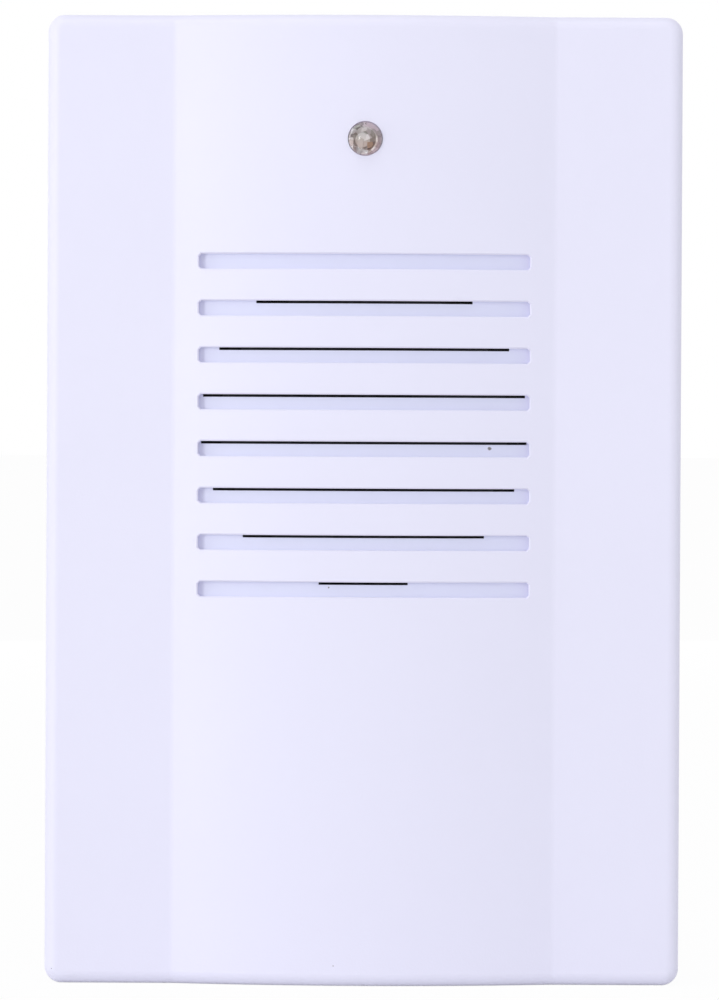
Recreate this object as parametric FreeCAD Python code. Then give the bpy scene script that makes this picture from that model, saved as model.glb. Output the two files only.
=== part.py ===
"""Indoor chime unit of a wireless doorbell, as an assembly of separate pieces, in millimetres.

X runs to the right as seen from the front, +Y points to the wall behind, +Z is up.
The origin is the centre of the back face, so the wall plane is y = 0 and the front has negative y.
"""
import FreeCAD, Part
import math
import os

from FreeCAD import Vector

# Case
CASE_W = 95.0
CASE_H = 145.0
FLAT_DEPTH = 27.5        # wall plane to the flat bands left and right of the crown
CROWN_W = 57.0           # width of the shallow crown that runs from top to bottom
CROWN_RISE = 4.0
CREASE_R = 3.0           # soft inside radius where the crown meets a flat band
CORNER_R = 2.5
EDGE_R = 1.8             # rounded front edge
BACK_EDGE_BEVEL = 0.8
FRONT_WALL = 2.4
SIDE_WALL = 2.2
BACK_WALL = 2.2
SEAM_DEPTH = 6.0         # wall plane to the seam between the two covers
SEAM_BEVEL = 0.35
LIP_WALL = 1.0
LIP_DEPTH = 2.5
LIP_GAP = 0.1
LIP_R = 1.2

# Louvred sound grille
SLOT_COUNT = 8
SLOT_PITCH = 7.0
SLOT_LEN = 49.5
SLOT_H = 2.24
SLOT_DEPTH = 1.5
SLOT_BEVEL = 0.2
SLOT_CORNER = 0.35        # cut off each corner of a slot, as its rounding
SLIT_H = 0.4             # height of the through gap at the top of each slot
SLIT_DEPTH = 0.3         # how far the inner groove passes the floor of the slot
INNER_GROOVE_H = 2.6
SOUND_R = 24.5           # the inner grooves lie inside this circle
GRILLE_Z = 11.2          # middle of the case to the centre of the slots and of the loudspeaker
TOP_SLOT_BLIND = 1       # slots at the top that have no inner groove

# Light
LED_FROM_TOP = 18.5
LED_R = 2.5
LED_FLANGE_R = 2.9
LED_FLANGE_H = 1.0
LED_H = 8.7
LED_PROUD = 2.0
LED_HOLE_GAP = 0.1
LED_SLEEVE_WALL = 1.4
LEAD_SIDE = 0.5
LEAD_PITCH = 2.54

# Screws
CASE_SCREW_INSET = 6.5   # side of the case to the screws
CASE_SCREW_FROM_END = 6.5
CASE_BOSS_R = 4.7
CASE_BOSS_JOIN = 10.0    # wall plane to where the two bosses meet
CASE_HEAD_R = 2.8
CASE_HEAD_H = 1.8
CASE_SHANK_R = 1.5
CASE_SCREW_LEN = 12.0
HEAD_GAP = 0.3
HEAD_SEAT = 5.0          # wall plane to the seat of the screw head
HEAD_SIDES = 12
SHANK_SIDES = 8
BOSS_SIDES = 16

# Loudspeaker, depths measured back from its rim
SPEAKER_R = 28.5
SPEAKER_SEAT = 24.6      # wall plane to the seat ring behind the grille
SEAT_IN_R = 25.9
LOCATING_GAP = 0.3
LOCATING_WALL = 1.4
LOCATING_H = 3.0
BASKET_T = 0.8
BASKET_IN_R = 24.8
LEDGE_DEPTH = 9.0        # rim to the spider's ledge
SPIDER_R = 16.7
WINDOW_COUNT = 6
WINDOW_W = 9.0
CONE_R = 21.8
CONE_T = 0.5
NECK_DEPTH = 6.2         # rim to the cone's neck
PLATE_DEPTH = 2.7        # spider's ledge to the top plate
FORMER_R = 6.9
FORMER_T = 0.3
DUST_CAP_LAP = 1.6        # over the cone, outside the former
DUST_CAP_RISE = 2.2
DUST_CAP_SHOULDER = 1.6
WINDING_T = 0.4
COIL_GAP = 0.3
TOP_PLATE_T = 1.5
TOP_PLATE_R = 15.0
MAGNET_R = 16.0
MAGNET_T = 4.0
MAGNET_CLEARANCE = 2.6    # round the voice coil's former
SURROUND_T = 0.3
SURROUND_RISE = 1.3
PLATE_SIDES = 24
RIM_SIDES = 32
SPEAKER_SCREW_OUT = 3.9  # loudspeaker's rim to the centres of its screws
SPEAKER_SCREW_TURN = 60.0
WASHER_R = 4.6
WASHER_T = 0.8
SMALL_HEAD_R = 2.4
SMALL_HEAD_H = 1.5
SMALL_SHANK_R = 1.2
SMALL_SCREW_LEN = 4.0
SMALL_BOSS_R = 2.5

# Circuit board
BOARD_FROM_SIDE = 13.5    # side of the case to the edge of the board
BOARD_H = 27.4
BOARD_FROM_TOP = 3.1
BOARD_T = 1.6
BOARD_BACK = 9.0         # wall plane to the back of the board
BOARD_SCREW_IN = 2.9      # side of the board to its screws
BOARD_SCREW_INSET = 3.0
CHIP_PLACE = (14.0, 11.0)            # across from the middle, and up from the board's bottom edge
CHIP_BODY = (5.0, 4.0, 1.9)          # length, width and height over the board
CHIP_PIN_PITCH = 1.27
CHIP_PINS_A_SIDE = 4
CHIP_PIN_W = 0.4
CHIP_PIN_REACH = 1.1
CRYSTAL_PLACE = (-14.0, 10.0)
CRYSTAL_CAN = (10.4, 4.4, 3.5)
CRYSTAL_FOOT = (11.0, 5.0, 0.5)
CAPACITOR_SIZES = ((-1, 9.5, 20.0, 3.15, 7.5), (1, 11.5, 22.0, 2.5, 6.5))   # side, inset, up, radius, height
CAPACITOR_SIDES = 24
RADIO_BOARD = (17.0, 1.0, 9.0)       # width, thickness and height over the board
RADIO_CAN = (8.0, 1.8, 6.0)
RADIO_UP = 21.0

# Controls on the back
BUTTON_X = -9.0
CONTROL_FROM_TOP = 23.5
BUTTON_R = 3.5
BUTTON_FLANGE_R = 4.6
BUTTON_FLANGE_T = 0.8
BUTTON_SUNK = 0.4
BUTTON_SIDES = 32
BUTTON_BEVEL = 0.4
CONTROL_GAP = 0.3
TACT_SIDE = 6.0
TACT_H = 3.4
PLUNGER_R = 1.75
PLUNGER_H = 1.5
SWITCH_X = 9.0
SWITCH_W = 8.6
SWITCH_DEEP = 4.4
SWITCH_H = 4.4
KNOB_W = 2.2
KNOB_H = 2.0
KNOB_SUNK = 0.6
KNOB_TRAVEL = 2.0

# Keyhole hangers
HANGER_SPACING = 44.0
HANGER_FROM_TOP = 15.5
HANGER_HEAD_R = 4.0
HANGER_SLOT_R = 2.0
HANGER_RISE = 7.0
HANGER_DEPTH = 4.3
HANGER_WALL = 1.2
HANGER_ROOM = 0.5

# Battery bay, three AA cells lying across the case
CELL_R = 7.25
CELL_LEN = 50.5
NUB_R = 2.75
NUB_H = 1.4
CELL_COUNT = 3
CELL_GAP = 0.6
BAY_FROM_BOTTOM = 30.6   # bottom of the case to the middle cell
BAY_SIDE_GAP = 0.35
BAY_WALL = 1.6
CELL_DEPTH = 9.6         # wall plane to the cell centres
SPRING_LEN = 5.2
PLATE_T = 0.4
DIMPLE_H = 1.2
CRADLE_T = 1.6
CRADLE_X = 16.0

# Battery door
DOOR_T = 1.7
DOOR_SUNK = 0.2
DOOR_GAP = 0.25
DOOR_LEDGE = 1.75
DOOR_SEAT = 2.0
HINGE_R = 0.85           # rounded bottom edge of the door about its pegs
PEG_R = 0.6
PEG_LEN = 1.3
PEG_GAP = 0.05
TONGUE_W = 14.0
TONGUE_T = 0.9
TONGUE_LEN = 9.0
TONGUE_SLIT = 0.8
HOOK_REACH = 0.9
HOOK_T = 0.9
HOOK_DROP = 0.4          # door's inner face to the hook
NOTCH_DEPTH = 1.0        # finger notch, which leaves the lip that the hook catches
GRIP_COUNT = 5
GRIP_PITCH = 2.0
GRIP_LEN = 16.0
GRIP_DEPTH = 0.5
GRIP_FROM_TOP = 11.0

# Contact springs
SPRING_WIRE_R = 0.35
SPRING_BIG_R = 4.2
SPRING_SMALL_R = 2.6
SPRING_TURNS = 2
SPRING_SIDES = 4

# Wiring
WIRE_R = 0.6
LEAD_SIDES = 4
TAG_PITCH = 5.0          # between the loudspeaker's two solder tags
TAG_STRIP_INSET = 0.4
TAG_STRIP_W = 2.0
TAG_STRIP_T = 0.8
TAG_STRIP_HALF = 4.0
TAG_W = 1.6
TAG_T = 0.5
TAG_HALF = 0.9
LUG_REACH = 2.6          # how far a battery lug stands out of the bay's wall
PAD_HALF = 5.0           # half the width of a contact plate
PAD_HALF_DEEP = 5.5
STRAP_HALF_DEEP = 2.5
SPEAKER_WIRE_IN = 11.5   # side of the board to where the loudspeaker's leads meet it
SPEAKER_WIRE_GAP = 3.0
SPEAKER_WIRE_OFF = 6.0   # how far a loudspeaker lead leaves its tag and the board before it bends
SPEAKER_WIRE_BEND = (-31.0, 13.0)    # across, and up from the tag
BATTERY_WIRE_IN = 5.5    # side of the board to where a battery lead meets it
BATTERY_WIRE_UP = 12.5   # bottom edge of the board to there
BATTERY_WIRE_INSET = 8.5 # side of the case to the leads along it
BATTERY_WIRE_LOW = (14.0, 16.0)      # wall plane to the lead's first bend, and how far up that is
BATTERY_WIRE_MIDDLE = (13.0, 46.0)
BATTERY_WIRE_HIGH = (15.0, 4.0)      # wall plane to the last bend, and how far below the board
BATTERY_WIRE_OFF = 5.0

# Values worked out from the dimensions above
CROWN_HALF = CROWN_W / 2
CROWN_R = (CROWN_HALF ** 2 + CROWN_RISE ** 2) / (2 * CROWN_RISE)
CROWN_FRONT = -FLAT_DEPTH - CROWN_RISE
CROWN_AXIS_Y = CROWN_FRONT + CROWN_R
CREASE_Y = -FLAT_DEPTH - CREASE_R
CREASE_X = math.sqrt((CROWN_R + CREASE_R) ** 2 - (CROWN_AXIS_Y - CREASE_Y) ** 2)
HALF_W = CASE_W / 2
HALF_H = CASE_H / 2
LED_Z = HALF_H - LED_FROM_TOP
CONTROL_Z = HALF_H - CONTROL_FROM_TOP
HANGER_Z = HALF_H - HANGER_FROM_TOP
BOARD_TOP = HALF_H - BOARD_FROM_TOP
BOARD_BOTTOM = BOARD_TOP - BOARD_H
BOARD_HALF_W = HALF_W - BOARD_FROM_SIDE
BOARD_SCREW_X = BOARD_HALF_W - BOARD_SCREW_IN
SPEAKER_WIRE_X = SPEAKER_WIRE_IN - BOARD_HALF_W
BATTERY_WIRE_X = BOARD_HALF_W - BATTERY_WIRE_IN
BAY_Z = -HALF_H + BAY_FROM_BOTTOM
CASE_SCREW_X = HALF_W - CASE_SCREW_INSET
CASE_SCREW_Z = HALF_H - CASE_SCREW_FROM_END
SPEAKER_SCREW_R = SPEAKER_R + SPEAKER_SCREW_OUT
BAY_LEN = CELL_LEN + SPRING_LEN + PLATE_T + DIMPLE_H
BAY_HALF_X = BAY_LEN / 2
BAY_HALF_Z = (CELL_COUNT * 2 * CELL_R + (CELL_COUNT - 1) * CELL_GAP) / 2 + BAY_SIDE_GAP
BAY_FLOOR = CELL_DEPTH + CELL_R + 0.25
DOOR_HALF_X = BAY_HALF_X + DOOR_LEDGE
DOOR_TOP = BAY_Z + BAY_HALF_Z + DOOR_LEDGE
DOOR_BOTTOM = BAY_Z - BAY_HALF_Z - DOOR_LEDGE
HINGE_Y = -DOOR_SUNK - DOOR_T / 2
HINGE_Z = DOOR_BOTTOM + HINGE_R + DOOR_GAP
BASKET_Y = -SPEAKER_SEAT
LEDGE_Y = -SPEAKER_SEAT + LEDGE_DEPTH
PLATE_Y = LEDGE_Y + PLATE_DEPTH
MAGNET_Y = PLATE_Y + TOP_PLATE_T
YOKE_Y = MAGNET_Y + MAGNET_T
BOARD_FRONT = -BOARD_BACK - BOARD_T
LED_TIP = CROWN_FRONT - LED_PROUD
LED_BASE = LED_TIP + LED_H


def block(x0, x1, y0, y1, z0, z1):
    """Plain box between two corners."""
    return Part.makeBox(x1 - x0, y1 - y0, z1 - z0, Vector(x0, y0, z0))


def rod(x, y, z, radius, length, axis=Vector(0, 1, 0)):
    """Cylinder from a point along an axis."""
    return Part.makeCylinder(radius, length, Vector(x, y, z), axis)


def prism(x, y, z, radius, length, sides):
    """Many-sided bar along Y, its corners on a circle, for small or hidden round pieces."""
    turns = [2 * math.pi * i / sides for i in range(sides)]
    corners = [Vector(x + radius * math.cos(a), y, z + radius * math.sin(a)) for a in turns]
    return Part.Face(Part.makePolygon(corners + [corners[0]])).extrude(Vector(0, length, 0))


def prism_ring(x, y, z, outer, inner, length, sides):
    """Many-sided ring along Y."""
    return prism(x, y, z, outer, length, sides).cut(prism(x, y, z, inner, length, sides))


def column(half_x, half_z, radius, y0, y1, x_mid=0.0, z_mid=0.0):
    """Rounded rectangle in the XZ plane, drawn out from y0 to y1."""
    solid = block(x_mid - half_x, x_mid + half_x, y0, y1, z_mid - half_z, z_mid + half_z)
    if radius <= 0:
        return solid
    long_edges = [e for e in solid.Edges if abs(e.tangentAt(e.FirstParameter).y) > 0.99]
    return solid.makeFillet(min(radius, half_x * 0.98, half_z * 0.98), long_edges)


def turned(points, sides, z):
    """Piece turned about an axis along Y from (radius, y) points, with flat sides all round."""
    turns = [2 * math.pi * i / sides for i in range(sides + 1)]
    faces = []
    for (r0, y0), (r1, y1) in zip(points, points[1:] + points[:1]):
        for a0, a1 in zip(turns, turns[1:]):
            corners = []
            for r, y, a in ((r0, y0, a0), (r1, y1, a0), (r1, y1, a1), (r0, y0, a1)):
                corner = Vector(r * math.cos(a), y, z + r * math.sin(a))
                if all((corner - other).Length > 1e-6 for other in corners):
                    corners.append(corner)
            if len(corners) > 2:
                faces.append(Part.Face(Part.makePolygon(corners + [corners[0]])))
    solid = Part.makeSolid(Part.makeShell(faces))
    if solid.Volume < 0:
        solid.reverse()
    return solid.removeSplitter()


def arc_through(a, b, c):
    """Circular edge from a to c by way of b."""
    return Part.Arc(a, b, c).toShape()


def fuse_all(first, others):
    """Join solids and drop the seams between flush faces."""
    result = first
    for other in others:
        result = result.fuse(other)
    return result.removeSplitter()


# Front outline


def front_solid(depth, half_w, half_h, y_back):
    """Everything behind the front surface, where that surface is sunk by depth."""
    flat_y = -FLAT_DEPTH + depth
    crown_r = CROWN_R - depth
    crease_r = CREASE_R + depth
    toward = Vector(-CREASE_X, CREASE_Y - CROWN_AXIS_Y, 0).normalize()
    crown_end = Vector(0, CROWN_AXIS_Y, 0) + toward * crown_r
    crease_centre = Vector(-CREASE_X, CREASE_Y, 0)
    middle = (Vector(0, 1, 0) - toward).normalize()
    left = [Vector(-half_w, flat_y, 0), Vector(-CREASE_X, flat_y, 0),
            crease_centre + middle * crease_r, crown_end]
    right = [Vector(-p.x, p.y, 0) for p in left]
    corners = [Vector(-half_w, y_back, 0), Vector(half_w, y_back, 0)]
    edges = [Part.LineSegment(corners[0], left[0]).toShape(),
             Part.LineSegment(left[0], left[1]).toShape(),
             arc_through(left[1], left[2], left[3]),
             arc_through(left[3], Vector(0, CROWN_AXIS_Y - crown_r, 0), right[3]),
             arc_through(right[3], right[2], right[1]),
             Part.LineSegment(right[1], right[0]).toShape(),
             Part.LineSegment(right[0], corners[1]).toShape(),
             Part.LineSegment(corners[1], corners[0]).toShape()]
    solid = Part.Face(Part.Wire(edges)).extrude(Vector(0, 0, 2 * half_h))
    solid.translate(Vector(0, 0, -half_h))
    return solid


def inner_front_y(x):
    """Depth of the front wall's inner surface at x, on the crown or a flat band."""
    if abs(x) >= CROWN_HALF:
        return -FLAT_DEPTH + FRONT_WALL
    return CROWN_AXIS_Y - math.sqrt((CROWN_R - FRONT_WALL) ** 2 - x ** 2)


def slot_z(index):
    """Height of a grille slot's centre, counted from the top."""
    return GRILLE_Z + ((SLOT_COUNT - 1) / 2 - index) * SLOT_PITCH


def outer_slots():
    """Shallow slots that follow the crown, as one cutter."""
    floor = front_solid(SLOT_DEPTH, HALF_W, HALF_H, 0)
    cutters = []
    for index in range(SLOT_COUNT):
        cutters.append(slot_bar(slot_z(index)).cut(floor))
    return Part.makeCompound(cutters)


def slot_bar(z):
    """Bar with its corners cut off, as long and as high as a slot."""
    x, up, cut = SLOT_LEN / 2, SLOT_H / 2, SLOT_CORNER
    quarter = [(x, up - cut), (x - cut, up)]
    outline = quarter + [(-a, b) for a, b in reversed(quarter)]
    outline += [(-a, -b) for a, b in quarter] + [(a, -b) for a, b in reversed(quarter)]
    corners = [Vector(a, CROWN_FRONT - 1, z + b) for a, b in outline]
    face = Part.Face(Part.makePolygon(corners + [corners[0]]))
    return face.extrude(Vector(0, -SEAM_DEPTH - CROWN_FRONT + 1, 0))


def inner_grooves():
    """Grooves behind the slots, set higher so that only a slit opens to the front."""
    reach = front_solid(SLOT_DEPTH - SLIT_DEPTH, HALF_W, HALF_H, 0)
    cutters = []
    for index in range(TOP_SLOT_BLIND, SLOT_COUNT):
        bottom = slot_z(index) + SLOT_H / 2 - SLIT_H
        off_centre = abs(bottom + SLIT_H / 2 - GRILLE_Z)
        if off_centre >= SOUND_R:
            continue
        half = min(math.sqrt(SOUND_R ** 2 - off_centre ** 2), SLOT_LEN / 2)
        bar = block(-half, half, CROWN_FRONT, inner_front_y(half) + 0.1, bottom, bottom + INNER_GROOVE_H)
        cutters.append(bar.common(reach))
    return Part.makeCompound(cutters)


def slot_rims(solid):
    """Edges where the slots open on the crown."""
    chosen = []
    for edge in solid.Edges:
        box = edge.BoundBox
        row = round((slot_z(0) - box.Center.z) / SLOT_PITCH)
        if not 0 <= row < SLOT_COUNT or abs(slot_z(row) - box.Center.z) > SLOT_H / 2 + 0.01:
            continue
        on_crown = all(abs(math.hypot(v.X, v.Y - CROWN_AXIS_Y) - CROWN_R) < 0.001 for v in edge.Vertexes)
        if on_crown and max(abs(box.XMin), abs(box.XMax)) < SLOT_LEN / 2 + 0.01:
            chosen.append(edge)
    return chosen


def speaker_screw_places():
    """Screw centres round the loudspeaker."""
    turns = [SPEAKER_SCREW_TURN, 180 - SPEAKER_SCREW_TURN,
             180 + SPEAKER_SCREW_TURN, 360 - SPEAKER_SCREW_TURN]
    places = []
    for turn in turns:
        angle = math.radians(turn)
        places.append((SPEAKER_SCREW_R * math.cos(angle),
                       GRILLE_Z + SPEAKER_SCREW_R * math.sin(angle)))
    return places


def case_screw_places():
    """Screw centres in the four corners of the case."""
    return [(sx * CASE_SCREW_X, sz * CASE_SCREW_Z) for sx in (-1, 1) for sz in (-1, 1)]


def front_edges(solid):
    """Outer edges of the front surface, which run round its rim."""
    chosen = []
    for edge in solid.Edges:
        box = edge.BoundBox
        on_front = box.YMax < -FLAT_DEPTH + 0.01
        inside = box.ZLength > CASE_H - 3 * CORNER_R and max(abs(box.XMin), abs(box.XMax)) < HALF_W - 1
        if on_front and not inside:
            chosen.append(edge)
    return chosen


def edges_at(solid, y):
    """Edges that lie wholly at one depth."""
    return [e for e in solid.Edges if abs(e.BoundBox.YMin - y) < 0.01 and e.BoundBox.YLength < 0.01]


def screw_hole(x, y, z, radius, length):
    """Hole that a screw cuts its thread in, as wide as the screw's sides."""
    return prism(x, y, z, radius, length, SHANK_SIDES)


def front_cover():
    """Moulded front shell with crown, louvres, light hole, seats and bosses."""
    shell = front_solid(0, HALF_W, HALF_H, -SEAM_DEPTH)
    shell = shell.common(column(HALF_W, HALF_H, CORNER_R, CROWN_FRONT - 1, -SEAM_DEPTH))
    shell = shell.makeFillet(EDGE_R, front_edges(shell))
    shell = shell.makeChamfer(SEAM_BEVEL, edges_at(shell, -SEAM_DEPTH))
    room_x = HALF_W - SIDE_WALL
    room_z = HALF_H - SIDE_WALL
    hollow = front_solid(FRONT_WALL, room_x, room_z, -SEAM_DEPTH)
    rebate = LIP_WALL + LIP_GAP
    hollow = hollow.fuse(column(room_x + rebate, room_z + rebate, LIP_R,
                                -SEAM_DEPTH - LIP_DEPTH - LIP_GAP, -SEAM_DEPTH))
    shell = shell.cut(hollow)

    seat_front = inner_front_y(0) - 0.5
    locating_r = SPEAKER_R + LOCATING_GAP
    seat = prism_ring(0, seat_front, GRILLE_Z, locating_r + LOCATING_WALL, SEAT_IN_R,
                      -SPEAKER_SEAT + LOCATING_H - seat_front, RIM_SIDES)
    extras = [seat]
    for x, z in speaker_screw_places():
        extras.append(prism(x, seat_front, z, SMALL_BOSS_R, BASKET_Y + BASKET_T - seat_front, BOSS_SIDES))
    for x, z in case_screw_places():
        extras.append(prism(x, seat_front, z, CASE_BOSS_R, -CASE_BOSS_JOIN - seat_front, BOSS_SIDES))
    extras.append(prism(0, seat_front, LED_Z, LED_R + LED_HOLE_GAP + LED_SLEEVE_WALL,
                        LED_BASE - LED_FLANGE_H - seat_front, PLATE_SIDES))
    for sign in (-1, 1):
        x0 = sign * (HALF_W - SIDE_WALL / 2)
        x1 = sign * (locating_r + LOCATING_WALL / 2)
        extras.append(block(min(x0, x1), max(x0, x1), seat_front, -SPEAKER_SEAT + 1.5,
                            GRILLE_Z - 0.7, GRILLE_Z + 0.7))
    room = column(HALF_W - SIDE_WALL / 2, HALF_H - SIDE_WALL / 2, CORNER_R, CROWN_FRONT, -SEAM_DEPTH)
    filled = front_solid(FRONT_WALL / 2, HALF_W, HALF_H, -SEAM_DEPTH).common(room)
    kept = [piece.common(filled) for piece in extras]
    shell = fuse_all(shell, kept)

    holes = [rod(0, CROWN_FRONT - 1, LED_Z, LED_R + LED_HOLE_GAP, LED_BASE - CROWN_FRONT + 2)]
    speaker_grip = SMALL_SCREW_LEN - WASHER_T
    top = BASKET_Y + BASKET_T
    for x, z in speaker_screw_places():
        holes.append(screw_hole(x, top - speaker_grip - 0.2, z, SMALL_SHANK_R, speaker_grip + 1))
        holes.append(prism(x, top, z, WASHER_R + 0.2, LOCATING_H, HEAD_SIDES))
    holes.append(prism_ring(0, -SPEAKER_SEAT, GRILLE_Z, locating_r, SEAT_IN_R, LOCATING_H, RIM_SIDES))
    for x, z in case_screw_places():
        length = CASE_SCREW_LEN - (CASE_BOSS_JOIN - HEAD_SEAT)
        holes.append(screw_hole(x, -CASE_BOSS_JOIN - length - 0.5, z, CASE_SHANK_R, length + 1))
    shell = shell.cut(outer_slots()).removeSplitter()
    shell = shell.makeChamfer(SLOT_BEVEL, slot_rims(shell))
    for cutter in [inner_grooves()] + holes:
        shell = shell.cut(cutter)
    return shell.removeSplitter()


def door_opening():
    """Recess in the back that the battery door lies in, with its finger notch and hook pocket."""
    recess = block(-DOOR_HALF_X, DOOR_HALF_X, -DOOR_SEAT, 1, DOOR_BOTTOM, DOOR_TOP)
    notch = rod(0, -NOTCH_DEPTH, DOOR_TOP, TONGUE_W / 2, NOTCH_DEPTH + 1)
    pocket_x = TONGUE_W / 2 + 0.4
    pocket = block(-pocket_x, pocket_x, -DOOR_SEAT - HOOK_T - 2 * HOOK_DROP, -DOOR_SEAT + 0.1,
                   DOOR_TOP - DOOR_LEDGE - 0.1, DOOR_TOP + HOOK_REACH + 0.5)
    return recess, notch, pocket


def rear_cover():
    """Moulded back with battery bay, keyholes, board posts and control openings."""
    cover = column(HALF_W, HALF_H, CORNER_R, -SEAM_DEPTH, 0)
    cover = cover.makeChamfer(BACK_EDGE_BEVEL, edges_at(cover, 0))
    cover = cover.makeChamfer(SEAM_BEVEL, edges_at(cover, -SEAM_DEPTH))
    room_x = HALF_W - SIDE_WALL
    room_z = HALF_H - SIDE_WALL
    room = block(-room_x, room_x, -SEAM_DEPTH - LIP_DEPTH, -BACK_WALL, -room_z, room_z)
    cover = cover.cut(room)
    lip_x = room_x + LIP_WALL
    lip_z = room_z + LIP_WALL
    lip = column(lip_x, lip_z, LIP_R - LIP_GAP, -SEAM_DEPTH - LIP_DEPTH, -SEAM_DEPTH).cut(room)

    extras = [lip]
    bay_x = BAY_HALF_X + BAY_WALL
    bay_z = BAY_HALF_Z + BAY_WALL
    extras.append(block(-bay_x, bay_x, -BAY_FLOOR - BAY_WALL, -BACK_WALL, BAY_Z - bay_z, BAY_Z + bay_z))
    ledge_x = DOOR_HALF_X + BAY_WALL
    extras.append(block(-ledge_x, ledge_x, -DOOR_SEAT - BAY_WALL, -BACK_WALL,
                        max(DOOR_BOTTOM - BAY_WALL, -room_z), DOOR_TOP + BAY_WALL))
    for x, z in case_screw_places():
        extras.append(prism(x, -CASE_BOSS_JOIN, z, CASE_BOSS_R, CASE_BOSS_JOIN - BACK_WALL, BOSS_SIDES))
    for x, z in board_screw_places():
        extras.append(prism(x, -BOARD_BACK, z, SMALL_BOSS_R, BOARD_BACK - BACK_WALL, BOSS_SIDES))
    for sign in (-1, 1):
        half_x = HANGER_HEAD_R + HANGER_ROOM + HANGER_WALL
        low = HANGER_Z - half_x
        high = HANGER_Z + HANGER_RISE + half_x
        x = sign * HANGER_SPACING / 2
        extras.append(block(x - half_x, x + half_x, -BACK_WALL - HANGER_DEPTH - HANGER_WALL,
                            -BACK_WALL, low, min(high, room_z)))
    lip_end = -SEAM_DEPTH - LIP_DEPTH
    limits = block(-lip_x, lip_x, lip_end, 0, -lip_z, lip_z)
    limits = limits.fuse(block(-room_x + LIP_GAP, room_x - LIP_GAP, -BAY_FLOOR - BAY_WALL - 1, lip_end,
                               -room_z + LIP_GAP, room_z - LIP_GAP))
    cover = fuse_all(cover, [piece.common(limits) for piece in extras])

    cutters = list(door_opening())
    cutters.append(block(-BAY_HALF_X, BAY_HALF_X, -BAY_FLOOR, 1, BAY_Z - BAY_HALF_Z, BAY_Z + BAY_HALF_Z))
    for sign in (-1, 1):
        x = sign * HANGER_SPACING / 2
        room = HANGER_HEAD_R + HANGER_ROOM
        cutters.append(rod(x, -BACK_WALL, HANGER_Z, HANGER_HEAD_R, BACK_WALL + 1))
        cutters.append(rod(x, -BACK_WALL, HANGER_Z + HANGER_RISE, HANGER_SLOT_R, BACK_WALL + 1))
        cutters.append(block(x - HANGER_SLOT_R, x + HANGER_SLOT_R, -BACK_WALL, 1, HANGER_Z,
                             HANGER_Z + HANGER_RISE))
        cutters.append(block(x - room, x + room, -BACK_WALL - HANGER_DEPTH, -BACK_WALL,
                             HANGER_Z - room, min(HANGER_Z + HANGER_RISE + room, room_z - HANGER_WALL)))
        peg_x = DOOR_HALF_X - DOOR_GAP
        start = peg_x if sign > 0 else -peg_x - PEG_LEN - DOOR_GAP
        cutters.append(rod(start, HINGE_Y, HINGE_Z, PEG_R + PEG_GAP, PEG_LEN + DOOR_GAP, Vector(1, 0, 0)))
    for x, z in case_screw_places():
        cutters.append(rod(x, -HEAD_SEAT, z, CASE_HEAD_R + HEAD_GAP, HEAD_SEAT + 1))
        cutters.append(screw_hole(x, -CASE_BOSS_JOIN - 1, z, CASE_SHANK_R, CASE_BOSS_JOIN))
    for x, z in board_screw_places():
        grip = SMALL_SCREW_LEN - BOARD_T
        cutters.append(screw_hole(x, -BOARD_BACK - 1, z, SMALL_SHANK_R, grip + 1.3))
    cutters.append(rod(BUTTON_X, -BACK_WALL - 1, CONTROL_Z, BUTTON_R + CONTROL_GAP, BACK_WALL + 2))
    knob_room = KNOB_W / 2 + KNOB_TRAVEL / 2 + CONTROL_GAP
    cutters.append(column(knob_room, KNOB_H / 2 + CONTROL_GAP, 0.5, -BACK_WALL - 1, 1,
                          SWITCH_X, CONTROL_Z))
    for cutter in cutters:
        cover = cover.cut(cutter)
    return fuse_all(cover, cell_cradles())


def cell_cradles():
    """Wedges on the bay's floor that keep the cells apart."""
    cradles = []
    slope = CELL_R + CELL_GAP / 2
    for index in range(CELL_COUNT - 1):
        z = (cell_z(index) + cell_z(index + 1)) / 2
        wide = slope * (1 - math.sin(math.radians(30))) - CELL_GAP / 2
        tall = CELL_R * (1 - math.cos(math.radians(50)))
        for x in (-CRADLE_X, CRADLE_X):
            corners = [Vector(x - CRADLE_T / 2, -BAY_FLOOR, z - wide / 2),
                       Vector(x - CRADLE_T / 2, -BAY_FLOOR, z + wide / 2),
                       Vector(x - CRADLE_T / 2, -BAY_FLOOR + tall, z)]
            face = Part.Face(Part.makePolygon(corners + [corners[0]]))
            cradles.append(face.extrude(Vector(CRADLE_T, 0, 0)))
    return cradles


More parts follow.
